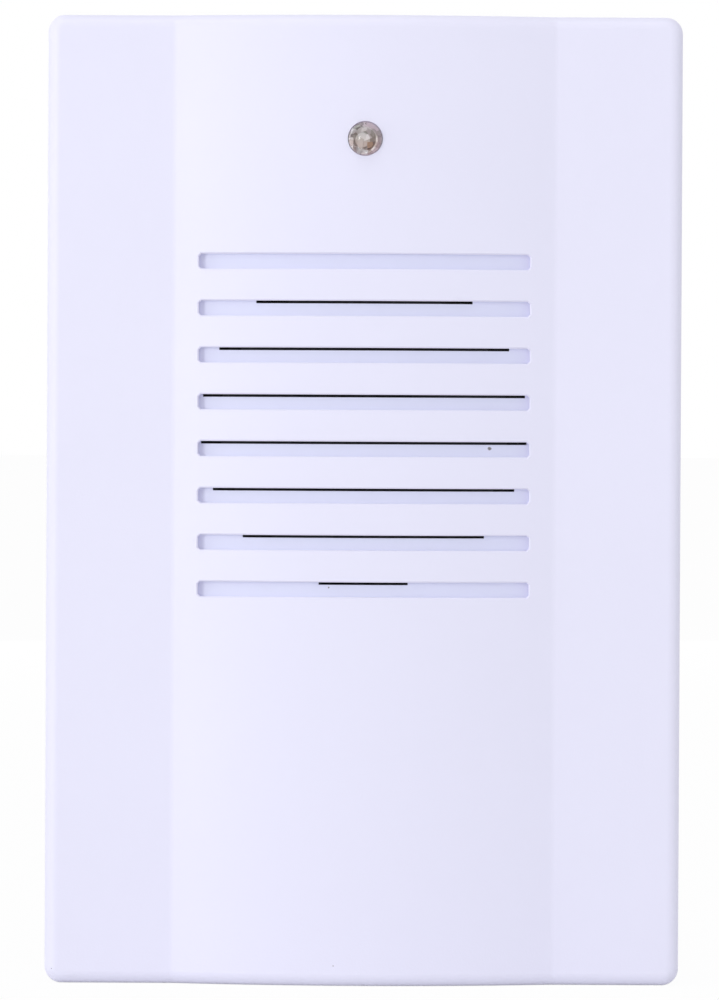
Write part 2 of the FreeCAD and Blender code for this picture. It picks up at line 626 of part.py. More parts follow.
def battery_door():
    """Flat door with rounded hinge edge, two pegs, sprung tongue and hook."""
    half_x = DOOR_HALF_X - DOOR_GAP
    back = -DOOR_SUNK
    top = DOOR_TOP - DOOR_GAP
    plate = block(-half_x, half_x, back - DOOR_T, back, HINGE_Z, top)
    edge = rod(-half_x, HINGE_Y, HINGE_Z, HINGE_R, 2 * half_x, Vector(1, 0, 0))
    pegs = rod(-half_x - PEG_LEN, HINGE_Y, HINGE_Z, PEG_R, 2 * (half_x + PEG_LEN), Vector(1, 0, 0))
    hook_y = back - DOOR_T - HOOK_DROP
    stem_z = DOOR_TOP - DOOR_LEDGE + 0.1
    tongue = block(-TONGUE_W / 2, TONGUE_W / 2, hook_y - HOOK_T, back - DOOR_T + TONGUE_T,
                   stem_z, stem_z + TONGUE_T)
    slits = []
    for sign in (-1, 1):
        x = sign * (TONGUE_W + TONGUE_SLIT) / 2
        slits.append(block(x - TONGUE_SLIT / 2, x + TONGUE_SLIT / 2, back - DOOR_T, back,
                           top - TONGUE_LEN, top))
    hook = block(-TONGUE_W / 2 + 1, TONGUE_W / 2 - 1, hook_y - HOOK_T, hook_y,
                 stem_z, DOOR_TOP + HOOK_REACH - 0.1)
    door = fuse_all(plate, [edge, pegs])
    grips = []
    for index in range(GRIP_COUNT):
        z = top - GRIP_FROM_TOP - index * GRIP_PITCH
        grips.append(block(-GRIP_LEN / 2, GRIP_LEN / 2, back - GRIP_DEPTH, back,
                           z - GRIP_PITCH / 4, z + GRIP_PITCH / 4))
    door = door.cut(Part.makeCompound(grips + slits))
    return door.fuse(tongue).fuse(hook).removeSplitter()


def cell_z(index):
    """Height of a battery cell's centre, counted from the top."""
    return BAY_Z + ((CELL_COUNT - 1) / 2 - index) * (2 * CELL_R + CELL_GAP)


def cell_sign(index):
    """Side that a cell's positive end points to, which turns about from cell to cell."""
    return 1 if index % 2 == 0 else -1


def battery_cell(index):
    """AA cell with its raised positive end."""
    sign = cell_sign(index)
    z = cell_z(index)
    start = -sign * (BAY_HALF_X - SPRING_LEN)
    axis = Vector(sign, 0, 0)
    can = rod(start, -CELL_DEPTH, z, CELL_R, CELL_LEN - NUB_H, axis)
    nub = prism(0, CELL_LEN - NUB_H - 0.1, 0, NUB_R, NUB_H + 0.1, 16)
    nub.rotate(Vector(0, 0, 0), Vector(0, 0, 1), -90 * sign)
    nub.translate(Vector(start, -CELL_DEPTH, z))
    return can.fuse(nub).removeSplitter()


def contact_pad(index, side):
    """Contact plate behind one cell end, with a dimple where it meets the positive end."""
    z = cell_z(index)
    wall = side * BAY_HALF_X
    inner = wall - side * PLATE_T
    pad = block(min(wall, inner), max(wall, inner), -CELL_DEPTH - PAD_HALF_DEEP, -CELL_DEPTH + PAD_HALF_DEEP,
                z - PAD_HALF, z + PAD_HALF)
    if side == cell_sign(index):
        dimple = prism(0, 0, 0, NUB_R, DIMPLE_H, 12)
        dimple.rotate(Vector(0, 0, 0), Vector(0, 0, 1), 90 * side)
        dimple.translate(Vector(inner, -CELL_DEPTH, z))
        pad = pad.fuse(dimple)
    return pad


def contact_bridge(first, side):
    """Plate that joins two neighbouring cells at one end of the bay."""
    wall = side * BAY_HALF_X
    inner = wall - side * PLATE_T
    strap = block(min(wall, inner), max(wall, inner), -CELL_DEPTH - STRAP_HALF_DEEP,
                  -CELL_DEPTH + STRAP_HALF_DEEP, cell_z(first + 1), cell_z(first))
    return fuse_all(contact_pad(first, side), [contact_pad(first + 1, side), strap])


def contact_terminal(index, side):
    """End contact with a solder lug that passes through the bay's wall."""
    wall = side * BAY_HALF_X
    outer = wall + side * (BAY_WALL + LUG_REACH)
    lug = block(min(wall, outer), max(wall, outer), -CELL_DEPTH - 1.5, -CELL_DEPTH + 1.5,
                cell_z(index) - PLATE_T / 2, cell_z(index) + PLATE_T / 2)
    return contact_pad(index, side).fuse(lug).removeSplitter()


def lug_slots():
    """Slots in the bay's end walls for the two solder lugs."""
    slots = []
    for index, side in ((0, -1), (CELL_COUNT - 1, 1)):
        wall = side * BAY_HALF_X
        outer = wall + side * (BAY_WALL + 1)
        slots.append(block(min(wall, outer), max(wall, outer), -CELL_DEPTH - 1.5, -CELL_DEPTH + 1.5,
                           cell_z(index) - PLATE_T / 2, cell_z(index) + PLATE_T / 2))
    return Part.makeCompound(slots)


# Wound and bent wire


def biarc(p0, t0, p1, t1):
    """Two tangent arcs from p0 to p1 with the given directions at the ends."""
    chord = p1 - p0
    both = t0 + t1
    slack = 2 * (1 - t0.dot(t1))
    reach = (-chord.dot(both) + math.sqrt(chord.dot(both) ** 2 + slack * chord.dot(chord))) / slack
    middle = (p0 + p1 + (t0 - t1) * reach) * 0.5
    return [tangent_arc(p0, t0, middle), tangent_arc(p1, t1 * -1, middle)]


def tangent_arc(start, direction, end):
    """Arc from start to end that leaves start in the given direction."""
    chord = end - start
    along = Vector(chord).normalize()
    side = direction - along * direction.dot(along)
    half_turn = math.acos(max(-1.0, min(1.0, direction.dot(along))))
    rise = chord.Length / 2 * math.tan(half_turn / 2)
    return arc_through(start, (start + end) * 0.5 + Vector(side).normalize() * rise, end)


def wire_section(centre, direction, radius, sides):
    """Many-sided wire section square to a direction."""
    across = direction.cross(Vector(0, 0.3, 1)).normalize()
    up = direction.cross(across).normalize()
    turns = [i * 2 * math.pi / sides for i in range(sides)]
    corners = [centre + across * (radius * math.cos(a)) + up * (radius * math.sin(a)) for a in turns]
    return Part.makePolygon(corners + [corners[0]])


def contact_spring(index):
    """Conical spring on the negative end of one cell, wound from biarcs of a half turn."""
    side = -cell_sign(index)
    base = Vector(side * (BAY_HALF_X - PLATE_T - SPRING_WIRE_R), -CELL_DEPTH, cell_z(index))
    length = SPRING_LEN - PLATE_T - 2 * SPRING_WIRE_R
    steps = SPRING_TURNS * 2
    angle = math.pi

    def place(step):
        share = step / steps
        radius = SPRING_BIG_R + (SPRING_SMALL_R - SPRING_BIG_R) * share
        return base + Vector(-side * length * share, radius * math.cos(step * angle),
                             radius * math.sin(step * angle))

    def heading(step):
        small = 0.001
        return (place(step + small) - place(step - small)).normalize()

    edges = []
    for step in range(steps):
        first, second = biarc(place(step), heading(step), place(step + 1), heading(step + 1))
        edges += [first, second]
    wire = Part.Wire(Part.__sortEdges__(edges))
    solid = wire.makePipeShell([wire_section(place(0), heading(0), SPRING_WIRE_R, SPRING_SIDES)], True, False)
    per_turn = 16
    points = [place(i * 2 / per_turn) for i in range(SPRING_TURNS * per_turn + 1)]
    gaps = [(points[i] - points[j]).Length - 2 * SPRING_WIRE_R
            for i in range(len(points)) for j in range(i + per_turn // 2, len(points))]
    print("contact spring", index + 1, "least gap between turns", round(min(gaps), 2), "mm")
    return solid


def wire_along(name, points):
    """Insulated lead of straight runs joined by tangent arcs."""
    edges = []
    here = points[0]
    radii = []
    for before, corner, after in zip(points, points[1:], points[2:]):
        into = corner - before
        away = after - corner
        setback = 0.45 * min(into.Length, away.Length)
        into.normalize()
        away.normalize()
        turn = into.getAngle(away)
        radius = setback / math.tan(turn / 2)
        bisector = (away - into).normalize()
        centre = corner + bisector * math.hypot(radius, setback)
        start = corner - into * setback
        end = corner + away * setback
        edges.append(Part.LineSegment(here, start).toShape())
        edges.append(arc_through(start, centre - bisector * radius, end))
        radii.append(round(radius, 1))
        here = end
    edges.append(Part.LineSegment(here, points[-1]).toShape())
    path = Part.Wire(edges)
    direction = (points[1] - points[0]).normalize()
    solid = path.makePipeShell([wire_section(points[0], direction, WIRE_R, LEAD_SIDES)], True, False)
    section = LEAD_SIDES / 2 * math.sin(2 * math.pi / LEAD_SIDES) * WIRE_R ** 2
    print(name, "bend radii", radii, "volume against section times length",
          round(solid.Volume / (section * path.Length), 4))
    return solid


# Screws


def screw(x, y, z, sizes, direction, recess=False):
    """Screw whose head is seated at y and whose shank runs along direction."""
    head_r, head_h, shank_r, length = sizes
    head = prism(x, y, z, head_r, -direction * head_h, HEAD_SIDES)
    shank = prism(x, y, z, shank_r, direction * length, SHANK_SIDES)
    if not recess:
        return head.fuse(shank).removeSplitter()
    outer = y - direction * head_h
    inner = outer + direction * head_h * 0.6
    for half_x, half_z in ((head_r * 0.55, head_r * 0.12), (head_r * 0.12, head_r * 0.55)):
        head = head.cut(block(x - half_x, x + half_x, min(outer, inner), max(outer, inner),
                              z - half_z, z + half_z))
    return head.fuse(shank).removeSplitter()


def case_screws():
    """Four screws that hold the covers together, driven from the back."""
    sizes = (CASE_HEAD_R, CASE_HEAD_H, CASE_SHANK_R, CASE_SCREW_LEN)
    return Part.makeCompound([screw(x, -HEAD_SEAT, z, sizes, -1, True) for x, z in case_screw_places()])


def board_screw_places():
    """Screw centres of the circuit board."""
    low = BOARD_BOTTOM + BOARD_SCREW_INSET
    high = BOARD_TOP - BOARD_SCREW_INSET
    return [(sx * BOARD_SCREW_X, z) for sx in (-1, 1) for z in (low, high)]


def board_screws():
    """Four screws that hold the board to the posts of the rear cover."""
    sizes = (SMALL_HEAD_R, SMALL_HEAD_H, SMALL_SHANK_R, SMALL_SCREW_LEN)
    return Part.makeCompound([screw(x, BOARD_FRONT, z, sizes, 1) for x, z in board_screw_places()])


def speaker_screws():
    """Four screws round the loudspeaker, driven towards the front."""
    sizes = (SMALL_HEAD_R, SMALL_HEAD_H, SMALL_SHANK_R, SMALL_SCREW_LEN)
    seat = BASKET_Y + BASKET_T + WASHER_T
    return Part.makeCompound([screw(x, seat, z, sizes, -1) for x, z in speaker_screw_places()])


def speaker_washers():
    """Washers that reach over the rim of the loudspeaker."""
    seat = BASKET_Y + BASKET_T
    return Part.makeCompound([prism_ring(x, seat, z, WASHER_R, SMALL_SHANK_R + 0.1, WASHER_T, HEAD_SIDES)
                              for x, z in speaker_screw_places()])


# Loudspeaker


def speaker_basket():
    """Pressed steel basket with windows between its spokes."""
    t = BASKET_T
    outline = [(BASKET_IN_R, BASKET_Y), (SPEAKER_R, BASKET_Y), (SPEAKER_R, BASKET_Y + t),
               (BASKET_IN_R + 1.1, BASKET_Y + t), (SPIDER_R + 0.9, LEDGE_Y + t),
               (SPIDER_R - 0.8, LEDGE_Y + t), (SPIDER_R - 0.8, PLATE_Y), (FORMER_R + 2, PLATE_Y),
               (FORMER_R + 2, PLATE_Y - t), (SPIDER_R - 1.6, PLATE_Y - t), (SPIDER_R - 1.6, LEDGE_Y),
               (SPIDER_R + 0.2, LEDGE_Y)]
    basket = turned(outline, RIM_SIDES, GRILLE_Z)
    inner = SPIDER_R + 1.8
    outer = BASKET_IN_R - 0.6
    for index in range(WINDOW_COUNT):
        window = block(inner, outer, BASKET_Y + t + 0.6, LEDGE_Y + 2 * t, -WINDOW_W / 2, WINDOW_W / 2)
        window.rotate(Vector(0, 0, 0), Vector(0, 1, 0), (index + 0.5) * 360 / WINDOW_COUNT)
        window.translate(Vector(0, 0, GRILLE_Z))
        basket = basket.cut(window)
    return basket


def speaker_cone():
    """Paper cone from the rolled edge down to the coil."""
    neck_y = BASKET_Y + NECK_DEPTH
    return turned([(CONE_R, BASKET_Y), (CONE_R, BASKET_Y + CONE_T), (FORMER_R, neck_y + CONE_T),
                   (FORMER_R, neck_y)], PLATE_SIDES, GRILLE_Z)


def cone_y(radius):
    """Depth of the cone's front surface at a radius."""
    return BASKET_Y + NECK_DEPTH * (CONE_R - radius) / (CONE_R - FORMER_R)


def dust_cap():
    """Domed cap over the cone's neck."""
    base_r = FORMER_R + DUST_CAP_LAP
    base_y = cone_y(base_r)
    neck_y = cone_y(FORMER_R)
    return turned([(0, base_y - DUST_CAP_RISE), (base_r * 0.55, base_y - DUST_CAP_SHOULDER), (base_r, base_y),
                   (FORMER_R, neck_y), (0, neck_y)], PLATE_SIDES, GRILLE_Z)


def speaker_surround():
    """Rolled edge between the cone and the basket's rim."""
    t = SURROUND_T
    y = BASKET_Y
    middle = (CONE_R + BASKET_IN_R) / 2
    lip_r = SEAT_IN_R - LOCATING_GAP
    return turned([(CONE_R, y), (middle, y - SURROUND_RISE), (BASKET_IN_R, y - t), (lip_r, y - t),
                   (lip_r, y), (BASKET_IN_R, y), (middle, y + t - SURROUND_RISE), (CONE_R, y + t)],
                  PLATE_SIDES, GRILLE_Z)


def speaker_spider():
    """Disc that centres the coil, with one corrugation."""
    t = SURROUND_T
    y = LEDGE_Y - t
    middle = (FORMER_R + SPIDER_R) / 2
    return turned([(FORMER_R, y), (middle, y - SURROUND_RISE / 2), (SPIDER_R, y), (SPIDER_R, y + t),
                   (middle, y + t - SURROUND_RISE / 2), (FORMER_R, y + t)], PLATE_SIDES, GRILLE_Z)


def voice_coil():
    """Former with its winding, hanging in the magnet's gap."""
    top = BASKET_Y + NECK_DEPTH
    end = MAGNET_Y + 0.8
    wound = (PLATE_Y - 0.5, PLATE_Y + TOP_PLATE_T + 0.5)
    outer = FORMER_R + WINDING_T
    return turned([(FORMER_R - FORMER_T, top), (FORMER_R, top), (FORMER_R, wound[0]), (outer, wound[0]),
                   (outer, wound[1]), (FORMER_R, wound[1]), (FORMER_R, end), (FORMER_R - FORMER_T, end)],
                  PLATE_SIDES, GRILLE_Z)


def top_plate():
    """Steel ring on the front of the magnet."""
    return prism_ring(0, PLATE_Y, GRILLE_Z, TOP_PLATE_R, FORMER_R + WINDING_T + COIL_GAP + 0.1,
                      TOP_PLATE_T, PLATE_SIDES)


def magnet_ring():
    """Ferrite ring."""
    return prism_ring(0, MAGNET_Y, GRILLE_Z, MAGNET_R, FORMER_R + MAGNET_CLEARANCE, MAGNET_T, PLATE_SIDES)


def magnet_yoke():
    """Steel back plate with the centre pole."""
    plate = prism(0, YOKE_Y, GRILLE_Z, TOP_PLATE_R, TOP_PLATE_T, PLATE_SIDES)
    pole = prism(0, PLATE_Y - 0.2, GRILLE_Z, FORMER_R - FORMER_T - COIL_GAP, YOKE_Y - PLATE_Y + 0.2,
                 PLATE_SIDES)
    return plate.fuse(pole).removeSplitter()


def terminal_board():
    """Fibre strip on the basket's rim with two solder tags."""
    y = BASKET_Y + BASKET_T
    edge = TAG_STRIP_INSET - SPEAKER_R
    strip = block(edge, edge + TAG_STRIP_W, y, y + TAG_STRIP_T, GRILLE_Z - TAG_STRIP_HALF,
                  GRILLE_Z + TAG_STRIP_HALF)
    tag_x = edge + (TAG_STRIP_W - TAG_W) / 2
    tags = []
    for z in (GRILLE_Z - TAG_PITCH / 2, GRILLE_Z + TAG_PITCH / 2):
        tags.append(block(tag_x, tag_x + TAG_W, y + TAG_STRIP_T, y + TAG_STRIP_T + TAG_T, z - TAG_HALF,
                          z + TAG_HALF))
    return fuse_all(strip, tags)


# Light and circuit board


def led_lens():
    """Clear five millimetre light with its domed end and its flange."""
    dome_y = LED_TIP + LED_R
    dome = [(LED_R * math.sin(a), dome_y - LED_R * math.cos(a))
            for a in (math.radians(d) for d in (0, 24, 46, 68, 90))]
    flange_y = LED_BASE - LED_FLANGE_H
    return turned(dome + [(LED_R, flange_y), (LED_FLANGE_R, flange_y), (LED_FLANGE_R, LED_BASE),
                          (0, LED_BASE)], PLATE_SIDES, LED_Z)


def led_leads():
    """Two square leads from the light down to the board."""
    half = LEAD_SIDE / 2
    leads = []
    for x in (-LEAD_PITCH / 2, LEAD_PITCH / 2):
        leads.append(block(x - half, x + half, LED_BASE, -BOARD_BACK + 0.8, LED_Z - half, LED_Z + half))
    return Part.makeCompound(leads)


def circuit_board():
    """Board with screw holes and lead holes."""
    board = block(-BOARD_HALF_W, BOARD_HALF_W, BOARD_FRONT, -BOARD_BACK, BOARD_BOTTOM, BOARD_TOP)
    for x, z in board_screw_places():
        board = board.cut(screw_hole(x, BOARD_FRONT - 1, z, SMALL_SHANK_R, BOARD_T + 2))
    half = LEAD_SIDE / 2
    for x in (-LEAD_PITCH / 2, LEAD_PITCH / 2):
        board = board.cut(block(x - half, x + half, BOARD_FRONT - 1, -BOARD_BACK + 1,
                                LED_Z - half, LED_Z + half))
    return board


def sound_chip():
    """Eight pin chip on the front of the board."""
    x, up = CHIP_PLACE
    z = BOARD_BOTTOM + up
    length, width, height = CHIP_BODY
    body = block(x - length / 2, x + length / 2, BOARD_FRONT - height, BOARD_FRONT - 0.2,
                 z - width / 2, z + width / 2)
    pins = []
    for index in range(CHIP_PINS_A_SIDE):
        pin_x = x + (index - (CHIP_PINS_A_SIDE - 1) / 2) * CHIP_PIN_PITCH
        for sign in (-1, 1):
            ends = sorted((z + sign * width / 2, z + sign * (width / 2 + CHIP_PIN_REACH)))
            pins.append(block(pin_x - CHIP_PIN_W / 2, pin_x + CHIP_PIN_W / 2, BOARD_FRONT - height / 2,
                              BOARD_FRONT, ends[0], ends[1]))
    return fuse_all(body, pins)


def crystal_can():
    """Crystal in its metal can, lying on the board."""
    x, up = CRYSTAL_PLACE
    z = BOARD_BOTTOM + up
    length, width, height = CRYSTAL_CAN
    foot_x, foot_z, foot_h = CRYSTAL_FOOT
    can = column(length / 2, width / 2, width / 2 - 0.1, BOARD_FRONT - height, BOARD_FRONT - foot_h, x, z)
    foot = block(x - foot_x / 2, x + foot_x / 2, BOARD_FRONT - foot_h, BOARD_FRONT,
                 z - foot_z / 2, z + foot_z / 2)
    return can.fuse(foot).removeSplitter()


def capacitors():
    """Two upright electrolytic capacitors."""
    cans = []
    for side, inset, up, radius, height in CAPACITOR_SIZES:
        x = side * (BOARD_HALF_W - inset)
        cans.append(prism(x, BOARD_FRONT - height, BOARD_BOTTOM + up, radius, height, CAPACITOR_SIDES))
    return Part.makeCompound(cans)


def receiver_module():
    """Small radio board standing on the main board, with its shield can."""
    width, thick, height = RADIO_BOARD
    can_w, can_t, can_h = RADIO_CAN
    z = BOARD_BOTTOM + RADIO_UP
    board = block(-width / 2, width / 2, BOARD_FRONT - height, BOARD_FRONT, z, z + thick)
    can_y = BOARD_FRONT - (height - can_h) / 2
    can = block(-can_w / 2, can_w / 2, can_y - can_h, can_y, z + thick, z + thick + can_t)
    return board.fuse(can).removeSplitter()


# Controls


def tact_switch():
    """Push switch body on the back of the board."""
    half = TACT_SIDE / 2
    body = block(BUTTON_X - half, BUTTON_X + half, -BOARD_BACK, -BOARD_BACK + TACT_H,
                 CONTROL_Z - half, CONTROL_Z + half)
    well = prism(BUTTON_X, -BOARD_BACK + TACT_H - 1.0, CONTROL_Z, PLUNGER_R + 0.2, 2, HEAD_SIDES)
    return body.cut(well)


def tact_plunger():
    """Plunger of the push switch."""
    start = -BOARD_BACK + TACT_H - 0.5
    return prism(BUTTON_X, start, CONTROL_Z, PLUNGER_R, PLUNGER_H + 0.5, HEAD_SIDES)


def melody_button():
    """Button cap that is held behind the rear cover by its flange and rests on the plunger."""
    foot = -BOARD_BACK + TACT_H + PLUNGER_H
    flange_back = -BACK_WALL - CONTROL_GAP / 2
    cap = prism(BUTTON_X, foot, CONTROL_Z, BUTTON_R, -BUTTON_SUNK - foot, BUTTON_SIDES)
    cap = cap.makeChamfer(BUTTON_BEVEL, edges_at(cap, -BUTTON_SUNK))
    flange = prism(BUTTON_X, flange_back - BUTTON_FLANGE_T, CONTROL_Z, BUTTON_FLANGE_R,
                   BUTTON_FLANGE_T, HEAD_SIDES)
    return cap.fuse(flange).removeSplitter()


def slide_switch():
    """Slide switch body with its steel frame on the back of the board."""
    body = block(SWITCH_X - SWITCH_W / 2, SWITCH_X + SWITCH_W / 2, -BOARD_BACK, -BOARD_BACK + SWITCH_H,
                 CONTROL_Z - SWITCH_DEEP / 2, CONTROL_Z + SWITCH_DEEP / 2)
    room = KNOB_W / 2 + KNOB_TRAVEL / 2 + CONTROL_GAP / 2
    well = block(SWITCH_X - room, SWITCH_X + room, -BOARD_BACK + SWITCH_H - 1.2, -BOARD_BACK + SWITCH_H + 1,
                 CONTROL_Z - KNOB_H / 2 - 0.1, CONTROL_Z + KNOB_H / 2 + 0.1)
    return body.cut(well)


def volume_knob():
    """Slider of the volume switch, at the low end of its travel."""
    x = SWITCH_X - KNOB_TRAVEL / 2
    knob = block(x - KNOB_W / 2, x + KNOB_W / 2, -BOARD_BACK + SWITCH_H - 1.0, -KNOB_SUNK,
                 CONTROL_Z - KNOB_H / 2, CONTROL_Z + KNOB_H / 2)
    for index in (-1, 0, 1):
        groove_x = x + index * 0.6
        knob = knob.cut(block(groove_x - 0.12, groove_x + 0.12, -KNOB_SUNK - 0.3, 0,
                              CONTROL_Z - KNOB_H, CONTROL_Z + KNOB_H))
    return knob


# Leads


def speaker_wire(upper):
    """Lead from a tag of the loudspeaker to the board."""
    sign = 1 if upper else -1
    tag_y = BASKET_Y + BASKET_T + TAG_STRIP_T + TAG_T
    z = GRILLE_Z + sign * TAG_PITCH / 2
    tag_x = -SPEAKER_R + TAG_STRIP_INSET + TAG_STRIP_W / 2
    shift = sign * SPEAKER_WIRE_GAP / 2
    end_x = SPEAKER_WIRE_X + shift
    end_z = BOARD_BOTTOM + BOARD_SCREW_INSET
    bend_x, bend_up = SPEAKER_WIRE_BEND
    out = SPEAKER_WIRE_OFF
    points = [Vector(tag_x, tag_y, z), Vector(tag_x, tag_y + out, z),
              Vector(bend_x + shift, tag_y + out, z + bend_up), Vector(end_x, BOARD_FRONT - out, end_z),
              Vector(end_x, BOARD_FRONT, end_z)]
    return wire_along("speaker wire", points)


def battery_wire(side):
    """Lead from a battery terminal's lug to the board."""
    index = 0 if side < 0 else CELL_COUNT - 1
    lug_x = BAY_HALF_X + BAY_WALL + LUG_REACH
    run_x = HALF_W - BATTERY_WIRE_INSET
    z = cell_z(index)
    low, middle, high = BATTERY_WIRE_LOW, BATTERY_WIRE_MIDDLE, BATTERY_WIRE_HIGH
    end_z = BOARD_BOTTOM + BATTERY_WIRE_UP
    points = [Vector(side * lug_x, -CELL_DEPTH, z), Vector(side * (run_x + 0.5), -CELL_DEPTH, z),
              Vector(side * run_x, -low[0], z + low[1])]
    if side > 0:
        points.append(Vector(run_x + 0.8, -middle[0], z + middle[1]))
    points += [Vector(side * (run_x - 0.5), -high[0], BOARD_BOTTOM - high[1]),
               Vector(side * BATTERY_WIRE_X, BOARD_FRONT - BATTERY_WIRE_OFF, end_z),
               Vector(side * BATTERY_WIRE_X, BOARD_FRONT, end_z)]
    return wire_along("battery wire", points)


def rear_cover_with_slots():
    """Rear cover, cut for the contacts' solder lugs."""
    return rear_cover().cut(lug_slots())


def main():
    """Build every node and write one STEP file for each."""
    os.makedirs("parts", exist_ok=True)
    springs = Part.makeCompound([contact_spring(index) for index in range(CELL_COUNT)])
    nodes = {
        "front_cover": front_cover(),
        "rear_cover": rear_cover_with_slots(),
        "case_screws": case_screws(),
        "battery_door": battery_door(),
        "contact_negative": contact_terminal(0, -1),
        "contact_positive": contact_terminal(CELL_COUNT - 1, 1),
        "contact_bridge_right": contact_bridge(0, 1),
        "contact_bridge_left": contact_bridge(1, -1),
        "contact_springs": springs,
        "circuit_board": circuit_board(),
        "board_screws": board_screws(),
        "sound_chip": sound_chip(),
        "crystal_can": crystal_can(),
        "capacitors": capacitors(),
        "receiver_module": receiver_module(),
        "led_lens": led_lens(),
        "led_leads": led_leads(),
        "tact_switch": tact_switch(),
        "tact_plunger": tact_plunger(),
        "melody_button": melody_button(),
        "slide_switch": slide_switch(),
        "volume_knob": volume_knob(),
        "speaker_basket": speaker_basket(),
        "speaker_cone": speaker_cone(),
        "speaker_surround": speaker_surround(),
        "speaker_spider": speaker_spider(),
        "dust_cap": dust_cap(),
        "voice_coil": voice_coil(),
        "top_plate": top_plate(),
        "magnet_ring": magnet_ring(),
        "magnet_yoke": magnet_yoke(),
        "terminal_board": terminal_board(),
        "speaker_screws": speaker_screws(),
        "speaker_washers": speaker_washers(),
        "speaker_wire_red": speaker_wire(True),
        "speaker_wire_black": speaker_wire(False),
        "battery_wire_red": battery_wire(1),
        "battery_wire_black": battery_wire(-1),
    }
    for index in range(CELL_COUNT):
        nodes["battery_cell_" + str(index + 1)] = battery_cell(index)
    for name, shape in nodes.items():
        if not shape.isValid():
            print("not valid:", name)
        shape.exportStep("parts/" + name + ".step")
        print(name, "solids", len(shape.Solids), "volume", round(shape.Volume, 1))


main()
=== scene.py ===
"""Looks of a wireless doorbell's indoor chime unit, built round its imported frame.

Everything is in metres, in the frame's own place: +Z is up, the front faces -Y and the wall is at y = 0.
"""

import math

import bmesh
import bpy
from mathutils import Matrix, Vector


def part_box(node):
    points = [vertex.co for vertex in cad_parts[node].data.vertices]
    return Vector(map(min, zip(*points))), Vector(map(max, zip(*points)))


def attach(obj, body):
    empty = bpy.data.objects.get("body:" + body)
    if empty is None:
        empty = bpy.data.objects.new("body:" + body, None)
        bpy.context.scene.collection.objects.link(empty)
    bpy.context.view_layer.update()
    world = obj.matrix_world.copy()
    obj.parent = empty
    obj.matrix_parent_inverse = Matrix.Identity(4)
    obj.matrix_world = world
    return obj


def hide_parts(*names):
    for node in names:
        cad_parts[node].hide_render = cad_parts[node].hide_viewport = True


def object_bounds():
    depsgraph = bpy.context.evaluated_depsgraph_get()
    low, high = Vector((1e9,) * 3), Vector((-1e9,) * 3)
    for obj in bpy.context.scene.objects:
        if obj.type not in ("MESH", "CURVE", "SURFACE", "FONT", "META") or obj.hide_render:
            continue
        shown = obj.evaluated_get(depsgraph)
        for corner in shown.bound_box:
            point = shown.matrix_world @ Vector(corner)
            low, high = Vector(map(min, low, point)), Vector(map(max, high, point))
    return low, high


bl_info = {
    "name": "Doorbell chime looks",
    "version": (1, 0, 0),
    "blender": (4, 5, 0),
    "location": "3D View > Sidebar > Chime",
    "description": "Finishes, small pieces and studio of a doorbell's chime unit",
    "category": "Object",
}

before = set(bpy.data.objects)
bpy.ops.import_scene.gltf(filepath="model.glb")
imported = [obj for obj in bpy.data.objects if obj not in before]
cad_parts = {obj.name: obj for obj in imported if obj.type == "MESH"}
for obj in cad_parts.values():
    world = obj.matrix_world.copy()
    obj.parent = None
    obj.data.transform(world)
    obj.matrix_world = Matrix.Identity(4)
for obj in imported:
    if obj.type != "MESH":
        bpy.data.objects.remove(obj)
CAD_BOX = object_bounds()
MM = 0.001


# Places read from the frame

def middle(node):
    """Centre of a node's box."""
    low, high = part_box(node)
    return (low + high) / 2


LIGHT_LOW, LIGHT_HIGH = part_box("led_lens")
LIGHT_MIDDLE = middle("led_lens")
SCREW_LOW, SCREW_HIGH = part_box("case_screws")
CROWN_RADIUS = 103.5 * MM
CROWN_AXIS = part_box("front_cover")[0].y + CROWN_RADIUS
LOUVRE_MIDDLE = middle("speaker_basket").z
LOUVRE_SPAN = 27.0 * MM      # middle of the louvres to just past the top and bottom ones
LOUVRE_REACH = 25.2 * MM     # middle of the louvres to just past their ends
FRONT_FROM = -20.0 * MM      # what lies before this is the front face
SHADE_PATCH = 30.0 * MM      # size of the faint shade changes in the plastic
WALL_DEPTHS = (0.2 * MM, 0.5 * MM)        # below the crown, where the louvres' bevels turn into walls
FLOOR_DEPTHS = (1.25 * MM, 1.45 * MM)     # below the crown, where the walls meet the floors
# painted light: the louvres' walls are drawn paler than the plastic, as if lit
WALL_PAINTED_LIGHT = (1.22, 1.14, 1.07)
# painted shade: the louvres' floors are drawn darker and bluer, as if in shadow
FLOOR_PAINTED_SHADE = (0.928, 0.975, 1.0)
SPECKS = ((18.8 * MM, 7.87 * MM, 0.34 * MM), (-5.12 * MM, -13.0 * MM, 0.16 * MM),
          (-4.2 * MM, -69.4 * MM, 0.1 * MM), (-46.4 * MM, -70.3 * MM, 0.09 * MM))   # across, up, radius
SCREW_CORE = 1.05 * MM
SCREW_CREST = 1.45 * MM
SCREW_PITCH = 1.0 * MM
RECESS_ARM = 0.28            # width of the cross, as a share of the head's radius
RECESS_REACH = 0.46          # length of each arm beyond that, as a share of the head's radius
BUTTON_RADIUS = 3.5 * MM
BUTTON_FLANGE = 4.6 * MM
FLANGE_BACK = -2.35 * MM
FLANGE_THICK = 0.8 * MM
SPRING_ROOM = 5.2 * MM       # end of a cell to the wall of its bay
CONTACT_THICK = 0.4 * MM
SPRING_WIDE = 4.2 * MM
SPRING_NARROW = 2.6 * MM
SPRING_FLAT = 0.12           # share of the wire that lies flat at either end
SPRING_POINTS = 12           # control points in a turn
BAND_WIDE = 15.5 * MM
LINE_IN, PLUS_IN, MINUS_IN = 17.0 * MM, 9.0 * MM, 6.0 * MM    # in from the cell's ends
MARK_LONG, MARK_THIN = 1.8 * MM, 0.35 * MM                    # half of a stroke's length and width
SLEEVE_WAYS = {"battery_cell_1": 1, "battery_cell_2": -1, "battery_cell_3": 1}   # +X or -X is the plus end


# Modelling helpers

